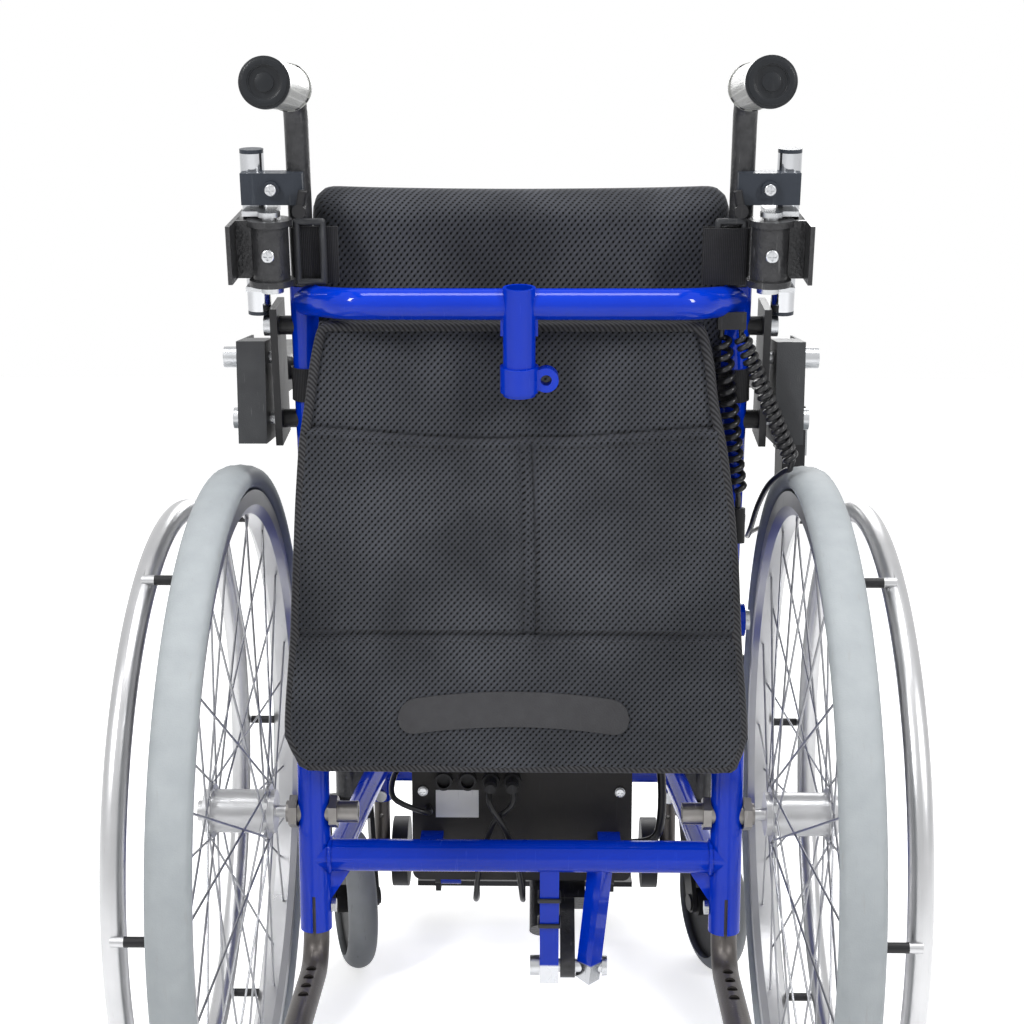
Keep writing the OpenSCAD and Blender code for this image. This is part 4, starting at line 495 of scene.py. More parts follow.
dress(moulded_black, "left_clamp_lever", "right_clamp_lever", "cord_fittings", "handset",
      "left_strut_wheel", "right_strut_wheel")
dress(clamp_slate, "rail_clamps")
dress(loop_grey, "belt_loops")
dress(key_grey, "handset_rocker")

# Cord jackets
# The coiled cord and the leads have a smooth, slightly shiny black jacket.
cord_jacket = solid_finish("cord_jacket", (0.012, 0.012, 0.013), (0.02, 0.02, 0.022), 0.3, coat=0.2,
                           patch=0.01, grain=0.0015, bump=0.05, scuff_colour=(0.06, 0.06, 0.06))
for piece in [curly_cord, *leads]:
    piece.data.materials.append(cord_jacket)

# Control box
# A folded steel housing, powder-coated in a fine black texture, bolted behind the crossbar. It
# carries four round sockets, a blank white rating plate and cross-headed lid screws.
textured_black = solid_finish("textured_black", (0.024, 0.0225, 0.0215), (0.036, 0.034, 0.032), 0.55,
                              patch=0.03, grain=0.0008, bump=0.5, scuff_colour=(0.05, 0.05, 0.05))
dress(textured_black, "control_box")
box_face = place(0, 50, 0).y


def select_rear_faces(piece):
    """Goes into edit mode with only the piece's rearward faces selected."""
    bpy.ops.object.mode_set(mode="EDIT")
    mesh = bmesh.from_edit_mesh(piece.data)
    for f in mesh.faces:
        f.select = f.normal.y < -0.9
    bmesh.update_edit_mesh(piece.data)


def inset_and_draw(inward, out):
    """Insets the selected faces and draws them forwards by a signed distance."""
    bpy.ops.mesh.inset(thickness=inward)
    bpy.ops.mesh.extrude_region_move(TRANSFORM_OT_translate={"value": (0, out, 0)})


def socket_collar(name, x, plugged):
    """A collar round a socket, sunk at its middle; a plugged one carries a stepped plug."""
    socket_z = 0.318
    deselect()
    bpy.ops.mesh.primitive_cylinder_add(vertices=32, radius=0.0079, depth=0.0089,
                                        rotation=(math.pi / 2, 0, 0),
                                        location=(x, box_face - 0.00455, socket_z))
    collar = bpy.context.object
    settle()
    select_rear_faces(collar)
    inset_and_draw(0.0021, -0.0145 if plugged else 0.0065)
    for _ in range(3 if plugged else 0):
        inset_and_draw(0.0005, -0.0012)
    bpy.ops.object.mode_set(mode="OBJECT")
    collar.name = name
    bpy.ops.object.shade_smooth_by_angle(angle=0.6)
    return collar


socket_xs = (-69.4, -47.7, -26.8, -7.3)
collars = [socket_collar(f"box_socket_{i}", x / 1000, i >= 2) for i, x in enumerate(socket_xs)]
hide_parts("box_connectors")
for collar in collars:
    fit(collar, moulded_black, "chassis")

deselect()
bpy.ops.mesh.primitive_cube_add(size=1, location=(-0.0575, box_face - 0.0004, 0.295))
rating_plate = bpy.context.object
rating_plate.name = "rating_plate"
rating_plate.scale = (0.039, 0.0006, 0.026)
settle()


def round_edges(piece, width, segments):
    """Bevels all of a piece's edges."""
    bevel = piece.modifiers.new("corner", "BEVEL")
    bevel.width = width
    bevel.segments = segments
    bpy.ops.object.modifier_apply(modifier="corner")


round_edges(rating_plate, 0.0002, 2)
plate_white = solid_finish("plate_white", (0.86, 0.86, 0.85), (0.92, 0.92, 0.91), 0.45, patch=0.01,
                           grain=0.002, bump=0.05, scuff_colour=(0.4, 0.4, 0.4))
fit(rating_plate, plate_white, "chassis")

# Cable ties and screws
# Two black ties hold the leads to the left lug. The box's lid, the slide rail clamps and the chest
# arms carry zinc-plated round-headed screws with a cross recess.
tie_spots = {198: 12.8, 224: 7.4}
for tie_z, tie_y in tie_spots.items():
    deselect()
    bpy.ops.mesh.primitive_cube_add(size=1, location=place(26.25, tie_y, tie_z))
    tie = bpy.context.object
    tie.name = f"cable_tie_{tie_z}"
    tie.scale = (0.0206, 0.0228, 0.004)
    settle()
    round_edges(tie, 0.0012, 3)
    bpy.ops.object.shade_smooth_by_angle(angle=0.6)
    fit(tie, cord_jacket, "chassis")


def cross_screw(name, middle, backwards, radius, height, body):
    """A low round screw head with a cross recess that faces backwards."""
    turn = Vector(backwards).to_track_quat("Z", "Y").to_euler()
    deselect()
    bpy.ops.mesh.primitive_cylinder_add(vertices=40, radius=radius, depth=height, location=middle,
                                        rotation=turn)
    head = bpy.context.object
    head.name = name
    round_edges(head, height * 0.42, 4)
    face = middle + Vector(backwards) * height * 0.45
    cutters = []
    for wide, high in ((1.25, 0.3), (0.3, 1.25)):
        bpy.ops.mesh.primitive_cube_add(size=1, rotation=turn, location=face)
        cutter = bpy.context.object
        cutter.scale = (wide * radius, high * radius, height * 0.8)
        cutters.append(cutter)
        cross = head.modifiers.new("cross", "BOOLEAN")
        cross.operation = "DIFFERENCE"
        cross.object = cutter
    bpy.context.view_layer.objects.active = head
    for modifier in list(head.modifiers):
        bpy.ops.object.modifier_apply(modifier=modifier.name)
    deselect()
    for cutter in cutters:
        cutter.select_set(True)
    bpy.ops.object.delete()
    head.select_set(True)
    bpy.context.view_layer.objects.active = head
    settle()
    bpy.ops.object.shade_smooth_by_angle(angle=0.6)
    fit(head, bright_steel, body)


lean = math.radians(10)
hip_y, hip_z = 48, 468


def on_back(x, off, z):
    """A point off the leaning back's plane at a height read along it, in metres."""
    h = (z - hip_z) / math.cos(lean)
    y = hip_y - h * math.sin(lean) + off * math.cos(lean)
    return place(x, y, hip_z + h * math.cos(lean) + off * math.sin(lean))


off_the_back = (0, -math.cos(lean), -math.sin(lean))
for i, x in enumerate((-88.5, 90)):
    cross_screw(f"box_screw_{i}", place(x, 46.3, 307.3), (0, -1, 0), 0.0041, 0.0022, "chassis")
for side in (-1, 1):
    name = side_name(side)
    cross_screw(f"clamp_screw_{name}", on_back(side * 199.6, -25, 845.5), off_the_back, 0.0048,
                0.0026, "backrest")
    cross_screw(f"hinge_screw_{name}", on_back(side * 200.3, -49.9, 798), off_the_back, 0.0054,
                0.0034, f"{name}_chest_arm")

# Aluminium wheels
# Polished double-wall rims and hand rims of drawn alloy tube, with a spun brushing round the axle.
rim_alloy = solid_finish("rim_alloy", (0.40, 0.405, 0.415), (0.56, 0.56, 0.57), 0.3, metallic=0.9,
                         patch=0.05, grain=0.001, bump=0.08, scuff_colour=(0.4, 0.4, 0.4))
dress(rim_alloy, "left_rim", "right_rim", "left_hub", "right_hub")

# Hand rims
# The anodised rings stand off the rims on six short posts sleeved in dark nylon.
ring_alloy = rim_alloy.copy()
ring_alloy.name = "ring_alloy"
sleeve_end = 0.2822
tree = ring_alloy.node_tree
shader = tree.nodes["Principled BSDF"]
out_from_middle = math_node(tree, "ABSOLUTE", object_place(tree)[1])
sleeved = math_node(tree, "LESS_THAN", out_from_middle, sleeve_end)
alloy = shader.inputs["Base Color"].links[0].from_socket
tree.links.new(colour_mix(tree, sleeved, alloy, (0.02, 0.02, 0.022)), shader.inputs["Base Color"])
tree.links.new(math_node(tree, "MULTIPLY_ADD", sleeved, -0.9, 0.9), shader.inputs["Metallic"])
dress(ring_alloy, "left_pushrim", "right_pushrim")

# Hubs and spokes
# The hub shell and flanges are turned alloy and the thirty-six spokes are stainless wire.
spoke_steel = solid_finish("spoke_steel", (0.2, 0.205, 0.22), (0.36, 0.365, 0.38), 0.32, metallic=0.9,
                           patch=0.02, grain=0.001, bump=0.08, scuff_colour=(0.35, 0.35, 0.35))
dress(spoke_steel, "left_spokes", "right_spokes")


# Tyres
# Grey solid-rubber tyres with a rounded tread: fine blocks between two running grooves and a
# plain side wall. Each is moulded in one piece and stretched over the rim.
def face_out():
    """Turns the active piece's faces outwards."""
    bpy.ops.object.mode_set(mode="EDIT")
    bpy.ops.mesh.select_all(action="SELECT")
    bpy.ops.mesh.normals_make_consistent(inside=False)
    bpy.ops.object.mode_set(mode="OBJECT")


def shell(name, points, faces):
    """A closed piece from points and faces, with its faces turned outwards."""
    mesh = bpy.data.meshes.new(name)
    mesh.from_pydata(points, [], faces)
    piece = bpy.data.objects.new(name, mesh)
    scene.collection.objects.link(piece)
    deselect()
    piece.select_set(True)
    bpy.context.view_layer.objects.active = piece
    face_out()
    return piece


def rounded(value):
    """A sine or cosine pressed towards its ends, for a squarer section."""
    return math.copysign(abs(value) ** 0.85, value)


def rubber_tyre(side):
    """A tyre with its treaded section carried round the wheel."""
    name = side_name(side)
    outer, height, half = 0.305, 0.022, 0.017
    steps, across = 420, 30
    middle = place(side * 245.4, 0, 305)
    section = []
    for k in range(across):
        turn = 2 * math.pi * k / across
        lift = height / 2 * rounded(math.cos(turn))
        section.append((half * rounded(math.sin(turn)), outer - height / 2 + lift))
    points, faces = [], []
    for i in range(steps):
        turn = 2 * math.pi * i / steps
        for x, r in section:
            share = abs(x) / half
            cut = 0.0
            if r > outer - height / 2:
                if 0.2 < share < 0.3 or 0.56 < share < 0.66:
                    cut = 0.0006
                elif 0.3 < share < 0.92 and (i + round(5 * x / half)) % 4 < 2:
                    cut = 0.0004
            radius = r - cut - 0.00005
            points.append(middle + Vector((x, radius * math.sin(turn), radius * math.cos(turn))))
        base, after = i * across, (i + 1) % steps * across
        for k in range(across):
            n = (k + 1) % across
            faces.append((base + k, after + k, after + n, base + n))
    tyre = shell(f"{name}_tyre_treaded", points, faces)
    bpy.ops.object.shade_smooth()
    fit(tyre, grey_rubber, f"{name}_wheel", f"{name}_tyre")


grey_rubber = solid_finish("grey_rubber", (0.28, 0.305, 0.32), (0.37, 0.395, 0.41), 0.6, patch=0.02,
                           grain=0.0012, bump=0.25, scuff_colour=(0.3, 0.3, 0.29))
for side in (-1, 1):
    rubber_tyre(side)

# Casters
# Each caster has a grey tyre moulded on a black nylon hub, so the finish turns from hub to tread
# with the distance from the wheel's middle.
caster_rubber = solid_finish("caster_rubber", (0.19, 0.2, 0.21), (0.26, 0.27, 0.28), 0.55, patch=0.02,
                             grain=0.0015, bump=0.2, scuff_colour=(0.08, 0.08, 0.08))
hub_reach, tread_reach = 0.0615, 0.0625
for name in ("left_caster_wheel", "right_caster_wheel"):
    low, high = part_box(name)
    two_tone = caster_rubber.copy()
    two_tone.name = f"{name}_rubber"
    tree = two_tone.node_tree
    shader = tree.nodes["Principled BSDF"]
    reach = tree.nodes.new("ShaderNodeVectorMath")
    reach.operation = "DISTANCE"
    reach.inputs[1].default_value = (low + high) / 2
    tree.links.new(object_place(tree)[0], reach.inputs[0])
    outside = number_range(tree, reach.outputs["Value"], hub_reach, tread_reach)
    rubber_colour = shader.inputs["Base Color"].links[0].from_socket
    tread_colour = colour_mix(tree, outside, (0.014, 0.014, 0.015), rubber_colour)
    tree.links.new(tread_colour, shader.inputs["Base Color"])
    dress(two_tone, name)

# Mesh upholstery
# Cushions and the rear flap are covered in black three-layer spacer mesh: a knitted face with
# small slanted holes about 4 mm apart, over a springy core.
spacer_mesh, group_in, group_out = value_group(
    "spacer_mesh", [("Vector", "NodeSocketVector", None), ("Pitch", "NodeSocketFloat", 0.0026)],
    ["Hole", "Yarn", "Height"])
tree = spacer_mesh
split = tree.nodes.new("ShaderNodeSeparateXYZ")
tree.links.new(group_in.outputs["Vector"], split.inputs["Vector"])
x, y, z = split.outputs
across = math_node(tree, "MULTIPLY_ADD", y, 0.8, x)
upward = math_node(tree, "ADD", z, y)
rate = math_node(tree, "DIVIDE", 2 * math.pi, group_in.outputs["Pitch"])
waves = []
for way in (0.5, -0.5):
    row = math_node(tree, "MULTIPLY_ADD", upward, 0.45, math_node(tree, "MULTIPLY", across, way))
    waves.append(math_node(tree, "SINE", math_node(tree, "MULTIPLY", row, rate)))
both = math_node(tree, "MULTIPLY", math_node(tree, "ADD", *waves), 0.5)
hole = number_range(tree, both, 0.3, 0.72, smooth=True)
fuzz = noise_of(tree, group_in.outputs["Vector"], scale=1600).outputs["Fac"]
strand = math_node(tree, "MULTIPLY_ADD", waves[1], -0.3, 0.35)
height = math_node(tree, "SUBTRACT", math_node(tree, "MULTIPLY", fuzz, 0.25), hole)
tree.links.new(hole, group_out.inputs["Hole"])
tree.links.new(math_node(tree, "MULTIPLY_ADD", fuzz, 0.7, strand), group_out.inputs["Yarn"])
tree.links.new(height, group_out.inputs["Height"])

black_mesh, nodes, links, shader = blank_material("black_mesh")
tree = black_mesh.node_tree
where = object_place(tree)[0]
knit = nodes.new("ShaderNodeGroup")
knit.node_tree = spacer_mesh
links.new(where, knit.inputs["Vector"])
use = use_marks(tree, where, 0.08, 0.002)
# The yarn's lighter tone is a painted sheen on the strands, stronger in random patches. The holes are
# painted darker than the black yarn as painted shade inside them.
painted_yarn_sheen = math_node(tree, "MULTIPLY", knit.outputs["Yarn"], use.outputs["Patch"])
yarn_with_painted_sheen = colour_mix(tree, painted_yarn_sheen, (0.0085, 0.0095, 0.012), (0.105, 0.11, 0.127))
mesh_with_painted_hole_shade = colour_mix(tree, knit.outputs["Hole"], yarn_with_painted_sheen, (0.001, 0.001, 0.0012))
links.new(mesh_with_painted_hole_shade, shader.inputs["Base Color"])
links.new(number_range(tree, knit.outputs["Yarn"], 0, 1, 0.62, 0.9), shader.inputs["Roughness"])
links.new(bumped(tree, knit.outputs["Height"], 0.8, 0.001), shader.inputs["Normal"])
shader.inputs["Specular IOR Level"].default_value = 0.12
shader.inputs["Sheen Weight"].default_value = 0.08
shader.inputs["Sheen Roughness"].default_value = 0.5

# Binding tape and thread
# Raw edges are closed with a ribbed black tape folded over them and sewn with black thread.
tape_black, nodes, links, shader = blank_material("tape_black")
tree = tape_black.node_tree
ribs = nodes.new("ShaderNodeTexWave")
ribs.wave_type = "BANDS"
ribs.bands_direction = "DIAGONAL"
ribs.inputs["Scale"].default_value = 150
ribs.inputs["Distortion"].default_value = 0.6
links.new(object_place(tree)[0], ribs.inputs["Vector"])
rib_colour = colour_mix(tree, ribs.outputs["Fac"], (0.010, 0.010, 0.011), (0.055, 0.055, 0.06))
links.new(rib_colour, shader.inputs["Base Color"])
links.new(bumped(tree, ribs.outputs["Fac"], 0.5, 0.0004), shader.inputs["Normal"])
shader.inputs["Roughness"].default_value = 0.6
shader.inputs["Specular IOR Level"].default_value = 0.15
shader.inputs["Sheen Weight"].default_value = 0.08

# Rear flap
# A padded panel of spacer mesh that hangs behind the backrest from the top bar. A shallow pocket
# with a sagging hem covers its middle, split by a double centre seam over a plain lower band.
flap_foot, flap_top, flap_half = 0.354, 0.736, 0.2
flap_front_y = place(0, -23, 0).y
flap_thick = 0.012
flap_heights = [0, 0.01, 0.08, 0.16, 0.3, 0.48, 0.61, 0.74, 0.83, 0.92, 1]
flap_lefts = [-0.9, -0.94, -1, -0.99, -0.965, -0.945, -0.93, -0.91, -0.88, -0.855, -0.82]
flap_rights = [0.9, 0.925, 0.968, 0.955, 0.93, 0.91, 0.885, 0.848, 0.81, 0.79, 0.75]
pocket_share, band_share, seam_share = 0.76, 0.315, 0.53


def flap_edges(v):
    """The flap's left and right edge at a share of its height, in metres."""
    return [float(np.interp(v, flap_heights, side)) * flap_half for side in (flap_lefts, flap_rights)]


def hem_share(u):
    """The pocket's sagging hem at a share of the flap's width, as a share of its height."""
    sag = 0.010 * math.sin(math.pi * min(1, u / seam_share))
    return pocket_share + 0.012 * math.cos(2 * math.pi * (u - 0.05)) - sag


def ridge(distance, width):
    """A round ridge: 1 at its middle and falling away over a width."""
    return math.exp(-(distance / width) ** 2)


def flap_proud(u, v):
    """How far the flap's rear face stands behind its plain thickness, in metres."""
    hem = hem_share(u)
    bulge = 0.003 * math.sin(math.pi * u) * math.sin(math.pi * min(1, v / pocket_share))
    in_pocket = band_share < v < hem
    seam = ridge(u - seam_share, 0.014) if in_pocket else 0.0
    twin = sum(ridge(u - seam_share - s, 0.0052) for s in (-0.014, 0.014)) if in_pocket else 0.0
    band = ridge(v - band_share, 0.008)
    pillow = 0.0
    if in_pocket:
        share_v = (v - band_share) / (hem - band_share)
        share_u = u / seam_share if u < seam_share else (1 - u) / (1 - seam_share)
        pillow = 0.0016 * math.sin(math.pi * share_v) * (1 - (1 - min(1, 3 * share_u)) ** 2)
    slack = 0.0006 * math.sin(17 * u + 5 * v) * math.sin(11 * v + 3 * u)
    past_hem = max(-40, min(40, (v - hem) / 0.0009))
    step = 0.0034 / (1 + math.exp(past_hem)) if v > band_share else 0.0034
    lip = 0.0016 * ridge(v - hem + 0.010, 0.006) - 0.0022 * ridge(v - hem - 0.004, 0.0034)
    sewn = 0.0034 * twin + 0.0036 * band
    return bulge * (1 - 0.7 * seam) * (1 - 0.5 * band) + step + lip + pillow - sewn + slack


def flap_point(u, v, y):
    """The point at shares of the flap's width and height, at a depth."""
    left, right = flap_edges(v)
    return Vector((left + (right - left) * u, y, flap_foot + (flap_top - flap_foot) * v))


def flap_rear(u, v):
    """The point of the flap's rear face at shares of its width and height."""
    edge = min(u * 2, (1 - u) * 2, v * 2, (1 - v) * 2, 1)
    drop = 0.0035 * max(0.0, 1 - edge / 0.045) ** 2
    return flap_point(u, v, flap_front_y - flap_thick - flap_proud(u, v) + drop)


deselect()
bpy.ops.mesh.primitive_grid_add(x_subdivisions=110, y_subdivisions=280, size=1)
rear_flap = bpy.context.object
rear_flap.name = "rear_flap_padded"
for v in rear_flap.data.vertices:
    v.co = flap_rear(v.co.x + 0.5, v.co.y + 0.5)
bpy.ops.object.mode_set(mode="EDIT")
bpy.ops.mesh.select_all(action="SELECT")
bpy.ops.mesh.extrude_region_move(TRANSFORM_OT_translate={"value": (0, flap_thick, 0)})
bpy.ops.object.mode_set(mode="OBJECT")
for v in rear_flap.data.vertices:
    if v.select:
        v.co.y = flap_front_y + 0.0003
face_out()
bpy.ops.object.shade_smooth_by_angle(angle=0.9)
fit(rear_flap, black_mesh, "backrest", "rear_flap")


# Flap binding
# The tape runs round the flap's whole edge, 8 mm wide on each face and mitred at the corners.
def closed_sweep(name, points, section):
    """A band whose section, out and back, goes round a closed line in the flap's plane."""
    count, wide = len(points), len(section)
    made, faces = [], []
    for i, p in enumerate(points):
        way = points[(i + 1) % count] - points[i - 1]
        way.y = 0
        way.normalize()
        outward = Vector((way.z, 0, -way.x))
        for out, back in section:
            made.append(p + outward * out + Vector((0, back, 0)))
        base, after = i * wide, (i + 1) % count * wide
        for k in range(wide):
            n = (k + 1) % wide
            faces.append((base + k, base + n, after + n, after + k))
    band = shell(name, made, faces)
    bpy.ops.object.shade_smooth()
    return band


edge_shares = [(i / 60, 0.0) for i in range(60)] + [(1.0, i / 70) for i in range(70)]
edge_shares += [(1 - i / 60, 1.0) for i in range(60)] + [(0.0, 1 - i / 70) for i in range(70)]
edge_points = [flap_point(u, v, flap_front_y - 0.006) for u, v in edge_shares]
for _ in range(3):
    edge_points = [0.25 * edge_points[i - 1] + 0.5 * p + 0.25 * edge_points[(i + 1) % len(edge_points)]
                   for i, p in enumerate(edge_points)]
tape_section = [(-0.0075, -0.0084), (-0.004, -0.0094), (-0.001, -0.0088), (0.0006, -0.0058),
                (0.0008, 0.0), (0.0006, 0.0045), (-0.001, 0.0057), (-0.0075, 0.0057)]
flap_tape = closed_sweep("flap_tape", edge_points, tape_section)
fit(flap_tape, tape_black, "backrest")


# Flap patch
# A capsule of ribbed vinyl is sewn on the lower band. It is left bare, with a rolled border.
deselect()
bpy.ops.mesh.primitive_grid_add(x_subdivisions=96, y_subdivisions=16, size=1)
flap_patch = bpy.context.object
flap_patch.name = "flap_patch"
patch_half, patch_high, patch_z = 0.098, 0.0155, 0.411
patch_shift = -0.005
flap_left, flap_wide = -0.197, 0.393
for v in flap_patch.data.vertices:
    s, t = 2 * v.co.x, 2 * v.co.y
    x = patch_half * s
    past = abs(x) - (patch_half - patch_high)
    limit = patch_high if past < 0 else math.sqrt(max(0, patch_high ** 2 - past ** 2))
    z = patch_z + limit * t - 0.009 * s * s
    x += patch_shift
    flap_u = min(0.98, max(0.02, (x - flap_left) / flap_wide))
    seat = flap_rear(flap_u, (z - flap_foot) / (flap_top - flap_foot))
    rim = max(0.0, 1 - (1 - max(abs(t), abs(s) ** 6)) / 0.22)
    v.co = Vector((x, seat.y - 0.0009 - 0.0006 * rim, z))
bpy.ops.object.mode_set(mode="EDIT")
bpy.ops.mesh.select_all(action="SELECT")
bpy.ops.mesh.extrude_region_move(TRANSFORM_OT_translate={"value": (0, 0.0012, 0)})
bpy.ops.mesh.select_all(action="SELECT")
bpy.ops.mesh.remove_doubles(threshold=0.00005)
bpy.ops.mesh.normals_make_consistent(inside=False)
bpy.ops.object.mode_set(mode="OBJECT")
bpy.ops.object.shade_smooth_by_angle(angle=0.8)
patch_vinyl = solid_finish("patch_vinyl", (0.032, 0.032, 0.035), (0.05, 0.05, 0.054), 0.42, patch=0.01,
                           grain=0.0015, bump=0.5, scuff_colour=(0.06, 0.06, 0.06))
fit(flap_patch, patch_vinyl, "backrest")


# Flap stitching
# Lockstitch in black thread, about 4 mm long, along the hem, the seams and the band.
def stitch_row(points, stitches):
    """Adds a short raised stitch between each two neighbours of a line of points."""
    gap, lift = 0.3, Vector((0, -0.0004, 0))
    for a, b in zip(points, points[1:]):
        way = b - a
        start, end = a + way * gap / 2, b - way * gap / 2
        across = way.normalized().cross(Vector((0, 1, 0))) * 0.00035
        stitches += [start - across, start + across, end + across, end - across,
                     start - across * 0.4 + lift, start + across * 0.4 + lift,
                     end + across * 0.4 + lift, end - across * 0.4 + lift]


thread_points = []
for row_v in (band_share - 0.014, band_share + 0.012):
    stitch_row([flap_rear(0.03 + 0.94 * i / 95, row_v) for i in range(96)], thread_points)
for row_u in (seam_share - 0.017, seam_share + 0.017):
    stitch_row([flap_rear(row_u, 0.33 + 0.42 * i / 40) for i in range(41)], thread_points)
for first_u, last_u in ((0.03, seam_share - 0.02), (seam_share + 0.02, 0.97)):
    hem_line = [first_u + (last_u - first_u) * i / 47 for i in range(48)]
    stitch_row([flap_rear(u, hem_share(u) - 0.02) for u in hem_line], thread_points)
box_faces = [(0, 1, 2, 3), (7, 6, 5, 4), (0, 4, 5, 1), (1, 5, 6, 2), (2, 6, 7, 3), (3, 7, 4, 0)]
thread_faces = [[first + k for k in face] for first in range(0, len(thread_points), 8)
                for face in box_faces]
flap_stitches = shell("flap_stitches", thread_points, thread_faces)
thread_black = solid_finish("thread_black", (0.02, 0.02, 0.022), (0.045, 0.045, 0.05), 0.5, patch=0.004,
                            grain=0.0006, bump=0.3)
fit(flap_stitches, thread_black, "backrest")


# Back cushion
# A foam pad in spacer mesh lies on the front of the backrest posts and stands above the top bar.
# It narrows upwards, its upper corners are round, and two cloth straps hold it to the posts.
def foam_form(name, size, edge, cuts):
    """A round-edged block of foam at the origin, as an even mesh that can be shaped."""
    deselect()
    bpy.ops.mesh.primitive_cube_add(size=1)
    form = bpy.context.object
    form.name = name
    form.scale = size
    settle()
    rounding = form.modifiers.new("edge", "BEVEL")
    rounding.width = edge
    rounding.segments = 6
    even = form.modifiers.new("even", "REMESH")
    even.mode = "VOXEL"
    even.voxel_size = cuts
    bpy.ops.object.modifier_apply(modifier="edge")
    bpy.ops.object.modifier_apply(modifier="even")
    bpy.ops.object.shade_smooth()
    return form


def share_of(point, size):
    """A point of a block at the origin as shares of its half size, each from -1 to 1."""
    return [2 * p / s for p, s in zip(point, size)]


def puff(form):
    """Blows the cover out a little, as cloth over foam, with each point held near its place."""
    pressure, most, last_frame = 3, 0.0025, 14
    before = [v.co.copy() for v in form.data.vertices]
    deselect()
    form.select_set(True)
    bpy.context.view_layer.objects.active = form
    cloth = form.modifiers.new("cover", "CLOTH")
    cloth.settings.use_pressure = True
    cloth.settings.uniform_pressure_force = pressure
    cloth.settings.effector_weights.gravity = 0
    cloth.settings.quality = 4
    cloth.point_cache.frame_start, cloth.point_cache.frame_end = 1, last_frame
    for frame_number in range(1, last_frame + 1):
        scene.frame_set(frame_number)
    bpy.ops.object.modifier_apply(modifier="cover")
    scene.frame_set(1)
    for v, home in zip(form.data.vertices, before):
        shift = v.co - home
        if shift.length > most:
            v.co = home + shift * (most / shift.length)


back_size = (0.392, 0.041, 0.292)
back_cushion = foam_form("back_cushion_padded", back_size, 0.019, 0.006)
puff(back_cushion)
cushion_foot, cushion_tall = 548, 294
foot_half, top_half = 196.5, 174.5
for v in back_cushion.data.vertices:
    s, d, t = share_of(v.co, back_size)
    share = (t + 1) / 2
    half = foot_half + (top_half - foot_half) * share
    waist = 1 - 0.012 * (1 - t * t)
    if d > 0:
        bulge = 6 * (1 - s * s) * (1 - t ** 4)
    else:
        bulge = -0.6 * math.sin(3 * math.pi * share) * (1 - abs(s))
    dip = 2.5 * (1 - s * s) * max(0, t) ** 6
    z = cushion_foot + cushion_tall * share - dip
    v.co = on_back(half * s * waist, 33.4 + 20.5 * d + bulge, z)
fit(back_cushion, black_mesh, "backrest", "back_cushion")

# Back cushion straps
# A band of black cloth tape goes round each backrest post and is sewn to the cushion.
webbing, nodes, links, shader = blank_material("webbing")
tree = webbing.node_tree
where = object_place(tree)[0]
warp = nodes.new("ShaderNodeTexWave")
warp.bands_direction = "Z"
warp.inputs["Scale"].default_value = 330
warp.inputs["Distortion"].default_value = 0.4
weft = nodes.new("ShaderNodeTexWave")
weft.bands_direction = "X"
weft.inputs["Scale"].default_value = 210
links.new(where, warp.inputs["Vector"])
links.new(where, weft.inputs["Vector"])
weave = math_node(tree, "MULTIPLY", warp.outputs["Fac"], weft.outputs["Fac"])
weave_colour = colour_mix(tree, weave, (0.006, 0.006, 0.007), (0.04, 0.04, 0.044))
links.new(weave_colour, shader.inputs["Base Color"])
links.new(bumped(tree, weave, 0.6, 0.0004), shader.inputs["Normal"])
shader.inputs["Roughness"].default_value = 0.55
shader.inputs["Specular IOR Level"].default_value = 0.15
shader.inputs["Sheen Weight"].default_value = 0.1


def band_faces(rows, columns):
    """The faces of a closed band whose points come in rows of inner and outer pairs."""
    faces = []
    wide = 2 * columns
    for first in range(0, rows * wide, wide):
        for a in range(first, first + wide - 2, 2):
            faces += [(a, a + wide, a + wide + 2, a + 2), (a + 1, a + 3, a + wide + 3, a + wide + 1)]
        for a in (first, first + wide - 2):
            faces.append((a, a + 1, a + wide + 1, a + wide))
    for first in (0, rows * wide):
        faces += [(a, a + 2, a + 3, a + 1) for a in range(first, first + wide - 2, 2)]
    return faces


strap_foot, strap_wide, strap_rows, strap_steps = 668.5, 28, 8, 40
post_x, post_hug, strap_outside = 180, 11.75, 13.5
for side in (-1, 1):
    points = []
    for i in range(strap_rows + 1):
        z = strap_foot + strap_wide * i / strap_rows
        hug = 0.35 * math.sin(math.pi * i / strap_rows)
        for k in range(strap_steps + 1):
            turn = math.pi + math.pi * k / strap_steps
            for radius in (post_hug, strap_outside - hug):
                x = side * post_x + radius * math.cos(turn)
                points.append(on_back(x, radius * math.sin(turn), z))
    faces = band_faces(strap_rows, strap_steps + 1)
    strap = shell(f"post_strap_{side_name(side)}", points, faces)
    bpy.ops.object.shade_smooth_by_angle(angle=0.7)
    fit(strap, webbing, "backrest")

